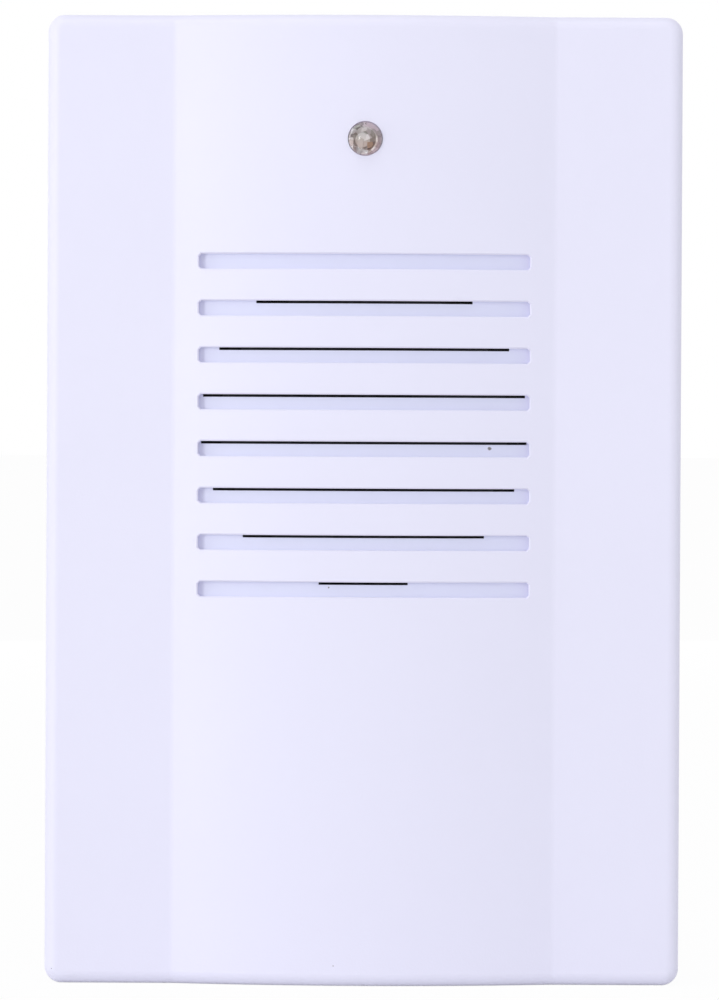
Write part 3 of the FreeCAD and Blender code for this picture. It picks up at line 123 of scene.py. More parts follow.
def let_go():
    """Leave edit mode and select nothing."""
    if bpy.context.object is not None and bpy.context.object.mode != "OBJECT":
        bpy.ops.object.mode_set(mode="OBJECT")
    bpy.ops.object.select_all(action="DESELECT")


def hold(*pieces):
    """Select these pieces only, the first one active."""
    let_go()
    for piece in pieces:
        piece.select_set(True)
    bpy.context.view_layer.objects.active = pieces[0]


def start(name):
    """Name the piece that a primitive operator has just made."""
    piece = bpy.context.object
    piece.name = name
    piece.data.name = name
    return piece


def settle(piece):
    """Put a piece's place into its mesh, so that its object sits at the origin."""
    hold(piece)
    bpy.ops.object.transform_apply(location=True, rotation=True, scale=True)
    return piece


def choose(piece, test):
    """Select the faces of a piece in edit mode that pass a test."""
    bpy.ops.mesh.select_mode(type="FACE")
    bpy.ops.mesh.select_all(action="DESELECT")
    mesh = bmesh.from_edit_mesh(piece.data)
    mesh.normal_update()
    for face in mesh.faces:
        if test(face):
            face.select_set(True)
    mesh.select_flush_mode()
    bmesh.update_edit_mesh(piece.data)


def finish_with(piece, kind, name, **settings):
    """Add a modifier to a piece and apply it."""
    hold(piece)
    modifier = piece.modifiers.new(name, kind)
    for key, value in settings.items():
        setattr(modifier, key, value)
    bpy.ops.object.modifier_apply(modifier=modifier.name)


def join(name, first, *others):
    """Make one named piece of several."""
    hold(first, *others)
    bpy.ops.object.join()
    first.name = first.data.name = name
    return first


def copy_of(piece, name, offset):
    """Copy a piece with a mesh of its own and move it."""
    hold(piece)
    bpy.ops.object.duplicate(linked=False)
    copy = bpy.context.object
    copy.name = name
    copy.data.name = name
    bpy.ops.transform.translate(value=offset)
    return settle(copy)


def extrude(*shift):
    """Extrude what is selected in edit mode by a shift in metres."""
    bpy.ops.mesh.extrude_region_move(TRANSFORM_OT_translate={"value": shift})


def smooth(piece, degrees=35.0):
    """Shade a piece smooth where its faces meet at less than an angle."""
    hold(piece)
    bpy.ops.object.shade_smooth_by_angle(angle=math.radians(degrees))


def face_outwards(piece):
    """Merge doubles and turn every face of a closed piece outwards."""
    hold(piece)
    bpy.ops.object.mode_set(mode="EDIT")
    bpy.ops.mesh.select_all(action="SELECT")
    bpy.ops.mesh.remove_doubles(threshold=1e-6)
    bpy.ops.mesh.normals_make_consistent(inside=False)
    bpy.ops.object.mode_set(mode="OBJECT")


def turn_piece(name, outline, centre, steps, axis="Y"):
    """Turn a piece on a lathe from (radius, distance along the axis) points, in metres."""
    along = {"X": Vector((1, 0, 0)), "Y": Vector((0, 1, 0))}[axis]
    out = Vector((0, 0, 1))
    places = [centre + out * r + along * d for r, d in outline]
    let_go()
    bpy.ops.mesh.primitive_plane_add(size=MM, location=places[0])
    piece = start(name)
    settle(piece)
    bpy.ops.object.mode_set(mode="EDIT")
    bpy.ops.mesh.select_mode(type="VERT")
    bpy.ops.mesh.select_all(action="SELECT")
    bpy.ops.mesh.merge(type="CENTER")
    for before, after in zip(places, places[1:]):
        extrude(*(after - before))
    bpy.ops.mesh.select_all(action="SELECT")
    bpy.ops.mesh.spin(steps=steps, angle=2 * math.pi, center=centre, axis=along)
    bpy.ops.mesh.select_all(action="SELECT")
    bpy.ops.mesh.remove_doubles(threshold=1e-6)
    bpy.ops.mesh.normals_make_consistent(inside=False)
    bpy.ops.object.mode_set(mode="OBJECT")
    return settle(piece)


def wire_piece(name, places, radius):
    """Round wire along a smooth line through control points, as a mesh."""
    let_go()
    bpy.ops.curve.primitive_nurbs_path_add(location=(0, 0, 0))
    piece = start(name)
    line = piece.data
    line.splines.clear()
    spline = line.splines.new("NURBS")
    spline.points.add(len(places) - 1)
    for point, place in zip(spline.points, places):
        point.co = (*place, 1)
    spline.order_u = 3
    spline.use_endpoint_u = True
    line.resolution_u = 6
    line.bevel_depth = radius
    line.bevel_resolution = 3
    line.use_fill_caps = True
    hold(piece)
    bpy.ops.object.convert(target="MESH")
    piece = bpy.context.object
    face_outwards(piece)
    return piece


# Materials

class Value:
    """A socket in a material. The usual signs on it add Math nodes."""

    def __init__(self, paint, socket):
        self.paint, self.socket = paint, socket

    def __add__(self, other):
        return self.paint.sum("ADD", self, other)

    def __sub__(self, other):
        return self.paint.sum("SUBTRACT", self, other)

    def __rsub__(self, other):
        return self.paint.sum("SUBTRACT", other, self)

    def __mul__(self, other):
        return self.paint.sum("MULTIPLY", self, other)

    def __truediv__(self, other):
        return self.paint.sum("DIVIDE", self, other)

    def __lt__(self, other):
        return self.paint.sum("LESS_THAN", self, other)

    def __gt__(self, other):
        return self.paint.sum("GREATER_THAN", self, other)

    def __abs__(self):
        return self.paint.sum("ABSOLUTE", self)

    __radd__ = __add__
    __rmul__ = __mul__


class Paint:
    """A material, or the world, under construction."""

    def __init__(self, name, owner=None):
        self.owner = owner or bpy.data.materials.new(name)
        self.owner.use_nodes = True
        self.tree = self.owner.node_tree
        self.tree.nodes.clear()

    def node(self, kind, settings=None, inputs=None, output=0):
        """Add a node with its settings first, then its inputs, and give back one output."""
        made = self.tree.nodes.new(kind)
        for key, value in (settings or {}).items():
            setattr(made, key, value)
        for key, value in (inputs or {}).items():
            socket = made.inputs[key]
            if isinstance(value, Value):
                self.tree.links.new(value.socket, socket)
            else:
                socket.default_value = value
        return Value(self, made.outputs[output]) if made.outputs else None

    def sum(self, operation, *terms):
        return self.node("ShaderNodeMath", {"operation": operation}, dict(enumerate(terms)))

    def limit(self, value, low=0.0, high=1.0):
        return self.sum("MAXIMUM", self.sum("MINIMUM", value, high), low)

    def step(self, value, low, high):
        """Smooth rise from 0 at low to 1 at high."""
        return self.node("ShaderNodeMapRange", {"interpolation_type": "SMOOTHSTEP"},
                         {"Value": value, "From Min": low, "From Max": high})

    def place(self):
        return self.node("ShaderNodeTexCoord", output="Object")

    def along(self, axis):
        return self.node("ShaderNodeSeparateXYZ", inputs={0: self.place()}, output=axis)

    def noise(self, size, detail, stretch=(1, 1, 1)):
        """Noise of a grain size in metres, stretched along the axes."""
        spot = self.node("ShaderNodeMapping", inputs={"Vector": self.place(),
                                                      "Scale": [1 / s for s in stretch]})
        return self.node("ShaderNodeTexNoise", inputs={"Vector": spot, "Scale": 1 / size, "Detail": detail})

    def mix(self, share, first, second):
        """Blend two colours."""
        return self.node("ShaderNodeMix", {"data_type": "RGBA"},
                         {"Factor": share, 6: first, 7: second}, output=2)

    def bump(self, height, depth):
        return self.node("ShaderNodeBump", inputs={"Height": height, "Distance": depth, "Strength": 1.0})

    def seen(self):
        """1 for rays from the camera, in gloss or through something clear, and 0 for rays of light."""
        rays = [self.node("ShaderNodeLightPath", output=kind)
                for kind in ("Is Camera Ray", "Is Glossy Ray", "Is Transmission Ray")]
        return self.limit(rays[0] + rays[1] + rays[2])

    def cover(self, **inputs):
        """Close the material with a Principled shader."""
        inputs = {key.replace("_", " "): value for key, value in inputs.items()}
        shader = self.node("ShaderNodeBsdfPrincipled", inputs=inputs)
        self.node("ShaderNodeOutputMaterial", inputs={"Surface": shader})
        return self.owner


def rgb(colour, share=1.0):
    """Colour with its alpha, scaled in brightness."""
    return (*[min(1.0, c * share) for c in colour[:3]], 1.0)


def tinted(colour, tint):
    """Colour shifted channel by channel."""
    return (*[min(1.0, c * t) for c, t in zip(colour, tint)], 1.0)


def moulded_plastic(name, colour, roughness, grain, depth):
    """Satin plastic out of an etched mould, with faint shade changes."""
    paint = Paint(name)
    fine = paint.noise(grain, 3.0)
    patches = paint.noise(SHADE_PATCH, 2.0)
    base = paint.mix(patches, rgb(colour, 0.985), rgb(colour, 1.012))
    return paint.cover(Base_Color=base, Roughness=paint.limit(roughness + (fine - 0.5) * 0.12),
                       Normal=paint.bump(fine, depth))


def case_plastic(look):
    """Plastic of the covers, with painted light that makes the louvres' walls paler and painted shade that
    makes their floors darker and bluer, and a few dust specks.
    """
    paint = Paint("case_plastic")
    fine = paint.noise(look.grain, 3.0)
    patches = paint.noise(SHADE_PATCH, 2.0)
    base = paint.mix(patches, rgb(look.colour, 0.985), rgb(look.colour, 1.012))
    across, deep, up = (paint.along(axis) for axis in range(3))
    front = deep < FRONT_FROM
    from_axis = paint.sum("POWER", across * across + (deep - CROWN_AXIS) * (deep - CROWN_AXIS), 0.5)
    below = CROWN_RADIUS - from_axis
    grille = (abs(across) < LOUVRE_REACH) * (abs(up - LOUVRE_MIDDLE) < LOUVRE_SPAN) * front
    # painted light on the louvres' walls and painted shade on their floors, by depth below the crown
    for depths, tint in ((WALL_DEPTHS, WALL_PAINTED_LIGHT), (FLOOR_DEPTHS, FLOOR_PAINTED_SHADE)):
        base = paint.mix(paint.step(below, *depths) * grille, base, tinted(look.colour, tint))
    for x, z, radius in SPECKS:
        flat = paint.sum("POWER", (across - x) * (across - x) + (up - z) * (up - z), 0.5)
        speck = paint.step(flat + (fine - 0.5) * radius, radius, radius * 0.5)
        base = paint.mix(speck * look.dust * front, base, (0.16, 0.14, 0.13, 1))
    return paint.cover(Base_Color=base, Roughness=paint.limit(look.roughness + (fine - 0.5) * 0.12),
                       Normal=paint.bump(fine, look.grain_depth))


def plated_metal(name, colour, roughness, stretch=(1, 1, 1), stain=0.12):
    """Plated or drawn metal with fine marks from its tools."""
    paint = Paint(name)
    marks = paint.noise(0.0004, 4.0, stretch)
    clouds = paint.noise(0.004, 2.0)
    base = paint.mix(clouds, rgb(colour, 1.0 - stain), rgb(colour))
    return paint.cover(Base_Color=base, Metallic=1.0, Roughness=paint.limit(roughness + (marks - 0.5) * 0.3),
                       Normal=paint.bump(marks, 0.000006))


def soft_sheet(name, colour, grain, depth, roughness=0.85):
    """Paper, cloth or rubber with a felted surface."""
    paint = Paint(name)
    fibres = paint.noise(grain, 5.0)
    base = paint.mix(fibres, rgb(colour, 0.7), rgb(colour, 1.25))
    return paint.cover(Base_Color=base, Roughness=roughness, Normal=paint.bump(fibres, depth))


def stamped_lead(name):
    """Plated lead frame in tarnished and bright facets."""
    paint = Paint(name)
    cells = paint.node("ShaderNodeTexVoronoi", inputs={"Vector": paint.place(), "Scale": 2600.0},
                       output="Color")
    tone = paint.node("ShaderNodeSeparateColor", inputs={0: cells})
    up = paint.step(paint.along(2), LIGHT_MIDDLE.z - 0.0004, LIGHT_MIDDLE.z + 0.0007)
    dull = paint.mix(up, (0.46, 0.37, 0.34, 1), (0.40, 0.40, 0.36, 1))
    bright = paint.mix(up, (0.84, 0.78, 0.76, 1), (0.80, 0.76, 0.78, 1))
    base = paint.mix(paint.step(tone, 0.15, 0.85), dull, bright)
    base = paint.mix(tone > 0.9, base, (0.9, 0.89, 0.88, 1))
    return paint.cover(Base_Color=base, Metallic=1.0, Roughness=paint.limit(0.3 + tone * 0.25),
                       Normal=paint.bump(tone, 0.00004))


def clear_epoxy(name):
    """Clear cast epoxy."""
    paint = Paint(name)
    ripple = paint.noise(0.0018, 1.0)
    tint = paint.mix(ripple, (0.93, 0.94, 0.95, 1), (0.98, 0.98, 0.99, 1))
    return paint.cover(Base_Color=tint, Roughness=0.03, IOR=1.53, Transmission_Weight=1.0,
                       Normal=paint.bump(ripple, 0.00001))


def cloudy_epoxy_painted_glow(name, colour):
    """Epoxy behind the lead frame, glowing with painted light in its own colour in place of the light that it
    would scatter.
    """
    paint = Paint(name)
    swirls = paint.noise(0.0011, 3.0)
    base = paint.mix(swirls, rgb(colour, 0.8), rgb(colour, 1.15))
    # painted light: the epoxy glows though it is no lamp
    return paint.cover(Base_Color=base, Roughness=0.5, Emission_Color=base, Emission_Strength=0.42,
                       Normal=paint.bump(swirls, 0.00002))


def board_mask(name):
    """Green solder mask over straight copper tracks."""
    paint = Paint(name)
    across, up = paint.along(0), paint.along(2)
    rows = abs(paint.sum("FRACT", up / 0.0024) - 0.5) < 0.16
    columns = abs(paint.sum("FRACT", across / 0.0031) - 0.5) < 0.14
    area = paint.noise(0.011, 0.0)
    tracks = rows * (area > 0.5) + columns * (area < 0.46)
    base = paint.mix(paint.limit(tracks), (0.012, 0.085, 0.03, 1), (0.03, 0.16, 0.055, 1))
    return paint.cover(Base_Color=base, Roughness=0.33, Normal=paint.bump(tracks, 0.00003))


def cell_sleeve(name, node, wrap, band):
    """Printed sleeve of a battery cell with a band and a mark at its positive end."""
    centre = middle(node)
    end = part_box(node)[1].x - centre.x
    paint = Paint(name)
    to_plus = (paint.along(0) - centre.x) * SLEEVE_WAYS[node]
    up = paint.along(2) - centre.z

    def stroke(place, half_wide, half_tall):
        return (abs(to_plus - place) < half_wide) * (abs(up) < half_tall)

    banded = to_plus > end - BAND_WIDE
    line = abs(to_plus - (end - LINE_IN)) < 0.4 * MM
    plus = stroke(end - PLUS_IN, MARK_LONG, MARK_THIN) + stroke(end - PLUS_IN, MARK_THIN, MARK_LONG)
    minus = stroke(MINUS_IN - end, MARK_THIN, MARK_LONG)
    marks = paint.limit(plus + minus + line)
    grain = paint.noise(0.0009, 2.0)
    base = paint.mix(banded, rgb(wrap), rgb(band))
    base = paint.mix(marks, base, (0.82, 0.83, 0.84, 1))
    return paint.cover(Base_Color=base, Roughness=paint.limit(0.3 + (grain - 0.5) * 0.1), Metallic=0.0,
                       Coat_Weight=0.4, Normal=paint.bump(grain, 0.000008))


def dress(material, *nodes):
    """Give nodes of the frame one material on every slot."""
    for node in nodes:
        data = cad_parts[node].data
        if not data.materials:
            data.materials.append(material)
        for index in range(len(data.materials)):
            data.materials[index] = material


def give(piece, material):
    """Give a new piece its material."""
    piece.data.materials.clear()
    piece.data.materials.append(material)


# Sizes and colours that a user may change

class CaseLook(bpy.types.PropertyGroup):
    """Plastic of the two covers and the battery door."""
    colour: bpy.props.FloatVectorProperty(name="Colour", description="Colour of the case plastic",
                                          subtype="COLOR", size=3, min=0, max=1, default=(0.797, 0.787, 0.934))
    roughness: bpy.props.FloatProperty(name="Roughness", description="How satin the plastic is",
                                       default=0.46, min=0, max=1)
    grain: bpy.props.FloatProperty(name="Grain", description="Size of the mould's etched grain",
                                   default=0.00032, unit="LENGTH")
    grain_depth: bpy.props.FloatProperty(name="Grain depth", description="Depth of the etched grain",
                                         default=0.000012, unit="LENGTH")
    dust: bpy.props.FloatProperty(name="Dust", description="How dark the few dust specks are",
                                  default=0.9, min=0, max=1)


class ControlLook(bpy.types.PropertyGroup):
    """Button and slider on the back."""
    button_colour: bpy.props.FloatVectorProperty(name="Button", description="Colour of the melody button",
                                                 subtype="COLOR", size=3, min=0, max=1,
                                                 default=(0.30, 0.31, 0.36))
    knob_colour: bpy.props.FloatVectorProperty(name="Knob", description="Colour of the volume knob",
                                               subtype="COLOR", size=3, min=0, max=1,
                                               default=(0.02, 0.02, 0.022))
    dish: bpy.props.FloatProperty(name="Dish", description="Depth of the hollow in the button's cap",
                                  default=0.00025, unit="LENGTH")


class LightLook(bpy.types.PropertyGroup):
    """Indicator light."""
    radius: bpy.props.FloatProperty(name="Radius", description="Radius of the clear dome",
                                    default=0.0025, unit="LENGTH")
    cup: bpy.props.FloatProperty(name="Cup", description="Radius of the cup on the lead frame",
                                 default=0.00105, unit="LENGTH")
    lead: bpy.props.FloatProperty(name="Lead", description="Side of a square lead",
                                  default=0.0005, unit="LENGTH")
    lead_pitch: bpy.props.FloatProperty(name="Lead pitch", description="Distance between the two leads",
                                        default=0.00254, unit="LENGTH")


class BatteryLook(bpy.types.PropertyGroup):
    """Cells and the springs behind them."""
    wrap: bpy.props.FloatVectorProperty(name="Sleeve", description="Colour of the sleeve",
                                        subtype="COLOR", size=3, min=0, max=1, default=(0.045, 0.075, 0.16))
    band: bpy.props.FloatVectorProperty(name="Band", description="Colour of the band at the positive end",
                                        subtype="COLOR", size=3, min=0, max=1, default=(0.42, 0.44, 0.46))
    spring_turns: bpy.props.IntProperty(name="Spring turns", description="Turns of each contact spring",
                                        default=5, min=2)
    spring_wire: bpy.props.FloatProperty(name="Spring wire", description="Radius of the spring wire",
                                         default=0.00035, unit="LENGTH")


class ScrewLook(bpy.types.PropertyGroup):
    """Case screws."""
    head_radius: bpy.props.FloatProperty(name="Head radius", description="Radius of the screw head",
                                         default=0.0028, unit="LENGTH")
    head_height: bpy.props.FloatProperty(name="Head height", description="Height of the screw head",
                                         default=0.0018, unit="LENGTH")
    recess_depth: bpy.props.FloatProperty(name="Recess depth", description="Depth of the cross recess",
                                          default=0.0011, unit="LENGTH")


class StageLook(bpy.types.PropertyGroup):
    """Camera, lamps, floor and world."""
    distance: bpy.props.FloatProperty(name="Distance", description="Camera to the front of the case",
                                      default=1.05, unit="LENGTH")
    height: bpy.props.FloatProperty(name="Height", description="Camera height from the middle of the case",
                                    default=0.012, unit="LENGTH")
    roll: bpy.props.FloatProperty(name="Roll", description="Turn of the picture", subtype="ANGLE",
                                  default=math.radians(0.28))
    frame_height: bpy.props.FloatProperty(name="Picture height", description="Height that the picture takes in",
                                          default=0.14876, unit="LENGTH")
    aim_x: bpy.props.FloatProperty(name="Aim across", description="Where the picture's centre lies across",
                                   default=-0.0006, unit="LENGTH")
    aim_z: bpy.props.FloatProperty(name="Aim up", description="Where the picture's centre lies up",
                                   default=0.00015, unit="LENGTH")
    key: bpy.props.FloatProperty(name="Key", description="Power of the lamp on the left in watts",
                                 default=2.6, min=0)
    top: bpy.props.FloatProperty(name="Top", description="Power of the wide lamp overhead in watts",
                                 default=2.2, min=0)
    side: bpy.props.FloatProperty(name="Side", description="Power of the wide lamp beside the object in watts",
                                  default=2.2, min=0)
    fill: bpy.props.FloatProperty(name="Fill", description="Power of the wide lamp on the right in watts",
                                  default=1.0, min=0)
    front: bpy.props.FloatProperty(name="Front", description="Power of the wide lamp over the camera in watts",
                                   default=0.5, min=0)
    back: bpy.props.FloatProperty(name="Back", description="Power of the wide lamp behind the object in watts",
                                  default=4.0, min=0)
    ambient: bpy.props.FloatProperty(name="Ambient", description="Brightness of the room round the object",
                                     default=0.735, min=0)
    floor: bpy.props.FloatProperty(name="Floor", description="Side of the floor",
                                   default=30.0, unit="LENGTH")
    floor_glow: bpy.props.FloatProperty(name="Floor glow",
                                        description="Share of plain white in the floor that is seen",
                                        default=0.96, min=0, max=1)


# Pieces

class CHIME_OT_case(bpy.types.Operator):
    """Give the covers and the battery door their moulded plastic"""
    bl_idname = "chime.case"
    bl_label = "Case"

    def execute(self, context):
        look = context.scene.chime_case
        dress(case_plastic(look), "front_cover", "rear_cover")
        dress(moulded_plastic("door_plastic", [c * 0.99 for c in look.colour], look.roughness + 0.03,
                              look.grain, look.grain_depth), "battery_door")
        return {"FINISHED"}


def cast_lens(look):
    """Clear dome with its flange."""
    tip, base, r = LIGHT_LOW.y, LIGHT_HIGH.y, look.radius
    flange = (LIGHT_HIGH.x - LIGHT_LOW.x) / 2
    dome = [(r * math.sin(a), tip + r * (1 - math.cos(a))) for a in
            [math.radians(d) for d in range(9, 91, 9)]]
    outline = [(0.0, tip)] + dome + [(r, base - 1.0 * MM), (flange, base - 1.0 * MM), (flange, base - 0.1 * MM),
                                     (flange - 0.1 * MM, base), (0.0, base)]
    lens = turn_piece("indicator_lens", outline, Vector((LIGHT_MIDDLE.x, 0, LIGHT_MIDDLE.z)), steps=64)
    smooth(lens, 40)
    give(lens, clear_epoxy("clear_epoxy"))
    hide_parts("led_lens")
    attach(lens, "case")


def stamp_leads(look):
    """Lead frame inside the epoxy: the cup and two posts that run back to the board."""
    tip, board_end = LIGHT_LOW.y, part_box("led_leads")[1].y
    let_go()
    bpy.ops.mesh.primitive_cylinder_add(vertices=24, radius=look.cup, depth=look.cup * 0.7,
                                        location=(LIGHT_MIDDLE.x - 0.15 * MM, tip + 4.0 * MM,
                                                  LIGHT_MIDDLE.z - 0.02 * MM),
                                        rotation=(math.pi / 2, 0, 0))
    cup = settle(start("cup"))
    bpy.ops.object.mode_set(mode="EDIT")
    choose(cup, lambda f: f.normal.y < -0.9)
    bpy.ops.mesh.inset(thickness=0.12 * MM)
    extrude(0, 0.45 * MM, 0)
    bpy.ops.transform.resize(value=(0.5, 1, 0.5))
    choose(cup, lambda f: f.normal.y > 0.9)
    extrude(0, 0.5 * MM, 0)
    bpy.ops.transform.resize(value=(0.55, 1, 0.4))
    choose(cup, lambda f: f.normal.z > 0.6 and f.normal.x > 0.1)
    bpy.ops.transform.translate(value=(0, 0, -0.18 * MM))
    bpy.ops.object.mode_set(mode="OBJECT")

    posts = []
    for side, front in ((-1, tip + 3.6 * MM), (1, tip + 4.4 * MM)):
        x = LIGHT_MIDDLE.x + side * look.lead_pitch / 2
        let_go()
        bpy.ops.mesh.primitive_cube_add(size=1, location=(x, (front + board_end) / 2, LIGHT_MIDDLE.z),
                                        scale=(look.lead, board_end - front, look.lead))
        post = settle(start("post"))
        if side < 0:
            bpy.ops.object.mode_set(mode="EDIT")
            choose(post, lambda f: f.normal.y < -0.9)
            bpy.ops.transform.translate(value=(0, 1.6 * MM, 0))
            extrude(-0.05 * MM, -0.9 * MM, -0.25 * MM)
            bpy.ops.transform.resize(value=(2.2, 1, 2.4))
            extrude(0.2 * MM, -0.7 * MM, -0.1 * MM)
            bpy.ops.transform.resize(value=(0.5, 1, 0.8))
            bpy.ops.object.mode_set(mode="OBJECT")
        finish_with(post, "BEVEL", "worn_edges", width=0.06 * MM, segments=2, limit_method="ANGLE")
        posts.append(post)
    leads = join("indicator_leads", cup, *posts)
    smooth(leads, 25)
    give(leads, stamped_lead("tinned_lead"))
    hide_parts("led_leads")
    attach(leads, "case")


def place_die():
    """Chip that gives the light, on the lead frame."""
    let_go()
    bpy.ops.mesh.primitive_cube_add(size=0.42 * MM, location=(LIGHT_MIDDLE.x + 0.35 * MM,
                                                              LIGHT_LOW.y + 3.95 * MM,
                                                              LIGHT_MIDDLE.z - 0.4 * MM))
    die = settle(start("indicator_die"))
    bpy.ops.object.mode_set(mode="EDIT")
    choose(die, lambda f: f.normal.y < -0.9)
    bpy.ops.mesh.inset(thickness=0.08 * MM)
    extrude(0, -0.05 * MM, 0)
    bpy.ops.object.mode_set(mode="OBJECT")
    give(die, moulded_plastic("light_die", (0.36, 0.20, 0.12), 0.3, 0.0002, 0.000004))
    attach(die, "case")


def pour_haze(look):
    """Cup of cloudy epoxy round the lead frame, which glows with painted light."""
    let_go()
    bpy.ops.mesh.primitive_cylinder_add(vertices=32, radius=look.radius * 0.95, depth=3.0 * MM,
                                        location=(LIGHT_MIDDLE.x, LIGHT_LOW.y + 4.3 * MM, LIGHT_MIDDLE.z),
                                        rotation=(math.pi / 2, 0, 0))
    haze = settle(start("indicator_haze"))
    bpy.ops.object.mode_set(mode="EDIT")
    choose(haze, lambda f: f.normal.y < -0.9)
    bpy.ops.mesh.inset(thickness=0.12 * MM)
    extrude(0, 2.5 * MM, 0)
    bpy.ops.transform.resize(value=(0.85, 1, 0.85))
    bpy.ops.object.mode_set(mode="OBJECT")
    smooth(haze)
    give(haze, cloudy_epoxy_painted_glow("cloudy_epoxy_painted_glow", (0.64, 0.57, 0.61)))
    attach(haze, "case")


class CHIME_OT_light(bpy.types.Operator):
    """Cast the clear indicator light round its lead frame"""
    bl_idname = "chime.light"
    bl_label = "Indicator light"

    def execute(self, context):
        look = context.scene.chime_light
        cast_lens(look)
        stamp_leads(look)
        place_die()
        pour_haze(look)
        return {"FINISHED"}


class CHIME_OT_screws(bpy.types.Operator):
    """Turn the four case screws and cut their cross recesses"""
    bl_idname = "chime.screws"
    bl_label = "Case screws"

    def execute(self, context):
        look = context.scene.chime_screws
        head_back = SCREW_HIGH.y
        seat = head_back - look.head_height
        r = look.head_radius
        thread = []
        y = seat - 0.4 * MM
        while y > SCREW_LOW.y + 1.2 * MM:
            thread += [(SCREW_CORE, y), (SCREW_CREST, y - 0.35 * SCREW_PITCH),
                       (SCREW_CORE, y - 0.7 * SCREW_PITCH)]
            y -= SCREW_PITCH
        outline = [(0.0, head_back), (r * 0.55, head_back - 0.03 * MM), (r * 0.85, head_back - 0.25 * MM),
                   (r, head_back - 0.75 * MM), (r, seat + 0.15 * MM), (r - 0.12 * MM, seat), (1.2 * MM, seat)]
        outline += thread + [(0.0, SCREW_LOW.y)]
        x0, z0 = SCREW_LOW.x + r, SCREW_LOW.z + r
        x1, z1 = SCREW_HIGH.x - r, SCREW_HIGH.z - r
        first = turn_piece("case_screw", outline, Vector((x0, 0, z0)), steps=32)
        place = Vector((x0, head_back, z0))
        let_go()
        arm = RECESS_ARM * r
        bpy.ops.mesh.primitive_cube_add(size=1, location=place, scale=(arm, 2 * look.recess_depth, arm))
        cross = settle(start("recess"))
        bpy.ops.object.mode_set(mode="EDIT")
        for way in (Vector((1, 0, 0)), Vector((-1, 0, 0)), Vector((0, 0, 1)), Vector((0, 0, -1))):
            choose(cross, lambda f: f.normal.dot(way) > 0.9
                   and way.cross(f.calc_center_median() - place).length < 1e-6)
            extrude(*(way * RECESS_REACH * r))
        choose(cross, lambda f: f.normal.y < -0.9)
        bpy.ops.transform.resize(value=(0.7, 1, 0.7))
        bpy.ops.object.mode_set(mode="OBJECT")
        finish_with(first, "BOOLEAN", "recess", object=cross, operation="DIFFERENCE", solver="EXACT")
        bpy.data.objects.remove(cross)
        face_outwards(first)
        copies = [copy_of(first, "case_screw_copy", (x - x0, 0, z - z0))
                  for x, z in ((x0, z1), (x1, z0), (x1, z1))]
        screws = join("case_screw_set", first, *copies)
        smooth(screws)
        give(screws, plated_metal("zinc_screw", (0.60, 0.60, 0.61), 0.34, stain=0.25))
        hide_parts("case_screws")
        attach(screws, "case")
        return {"FINISHED"}


class CHIME_OT_controls(bpy.types.Operator):
    """Turn the melody button's cap and finish the volume knob"""
    bl_idname = "chime.controls"
    bl_label = "Controls"

    def execute(self, context):
        look = context.scene.chime_controls
        low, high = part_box("melody_button")
        centre = (low + high) / 2
        cap_r, back = BUTTON_RADIUS, high.y
        flange_front = FLANGE_BACK - FLANGE_THICK
        outline = [(0.0, back - look.dish), (cap_r * 0.55, back - look.dish * 0.75),
                   (cap_r * 0.82, back - look.dish * 0.1), (cap_r - 0.4 * MM, back),
                   (cap_r - 0.12 * MM, back - 0.12 * MM), (cap_r, back - 0.4 * MM), (cap_r, FLANGE_BACK),
                   (BUTTON_FLANGE, FLANGE_BACK), (BUTTON_FLANGE, flange_front),
                   (cap_r, flange_front), (cap_r, low.y), (0.0, low.y)]
        cap = turn_piece("melody_cap", outline, Vector((centre.x, 0, centre.z)), steps=56)
        smooth(cap, 30)
        give(cap, moulded_plastic("button_plastic", look.button_colour, 0.42, 0.0003, 0.00001))
        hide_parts("melody_button")
        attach(cap, "melody_button")
        dress(moulded_plastic("knob_plastic", look.knob_colour, 0.38, 0.0003, 0.00001), "volume_knob")
        dress(moulded_plastic("switch_plastic", (0.02, 0.02, 0.022), 0.35, 0.0003, 0.00001),
              "tact_switch", "tact_plunger")
        dress(plated_metal("switch_frame", (0.62, 0.62, 0.60), 0.35, (1, 1, 8)), "slide_switch")
        return {"FINISHED"}


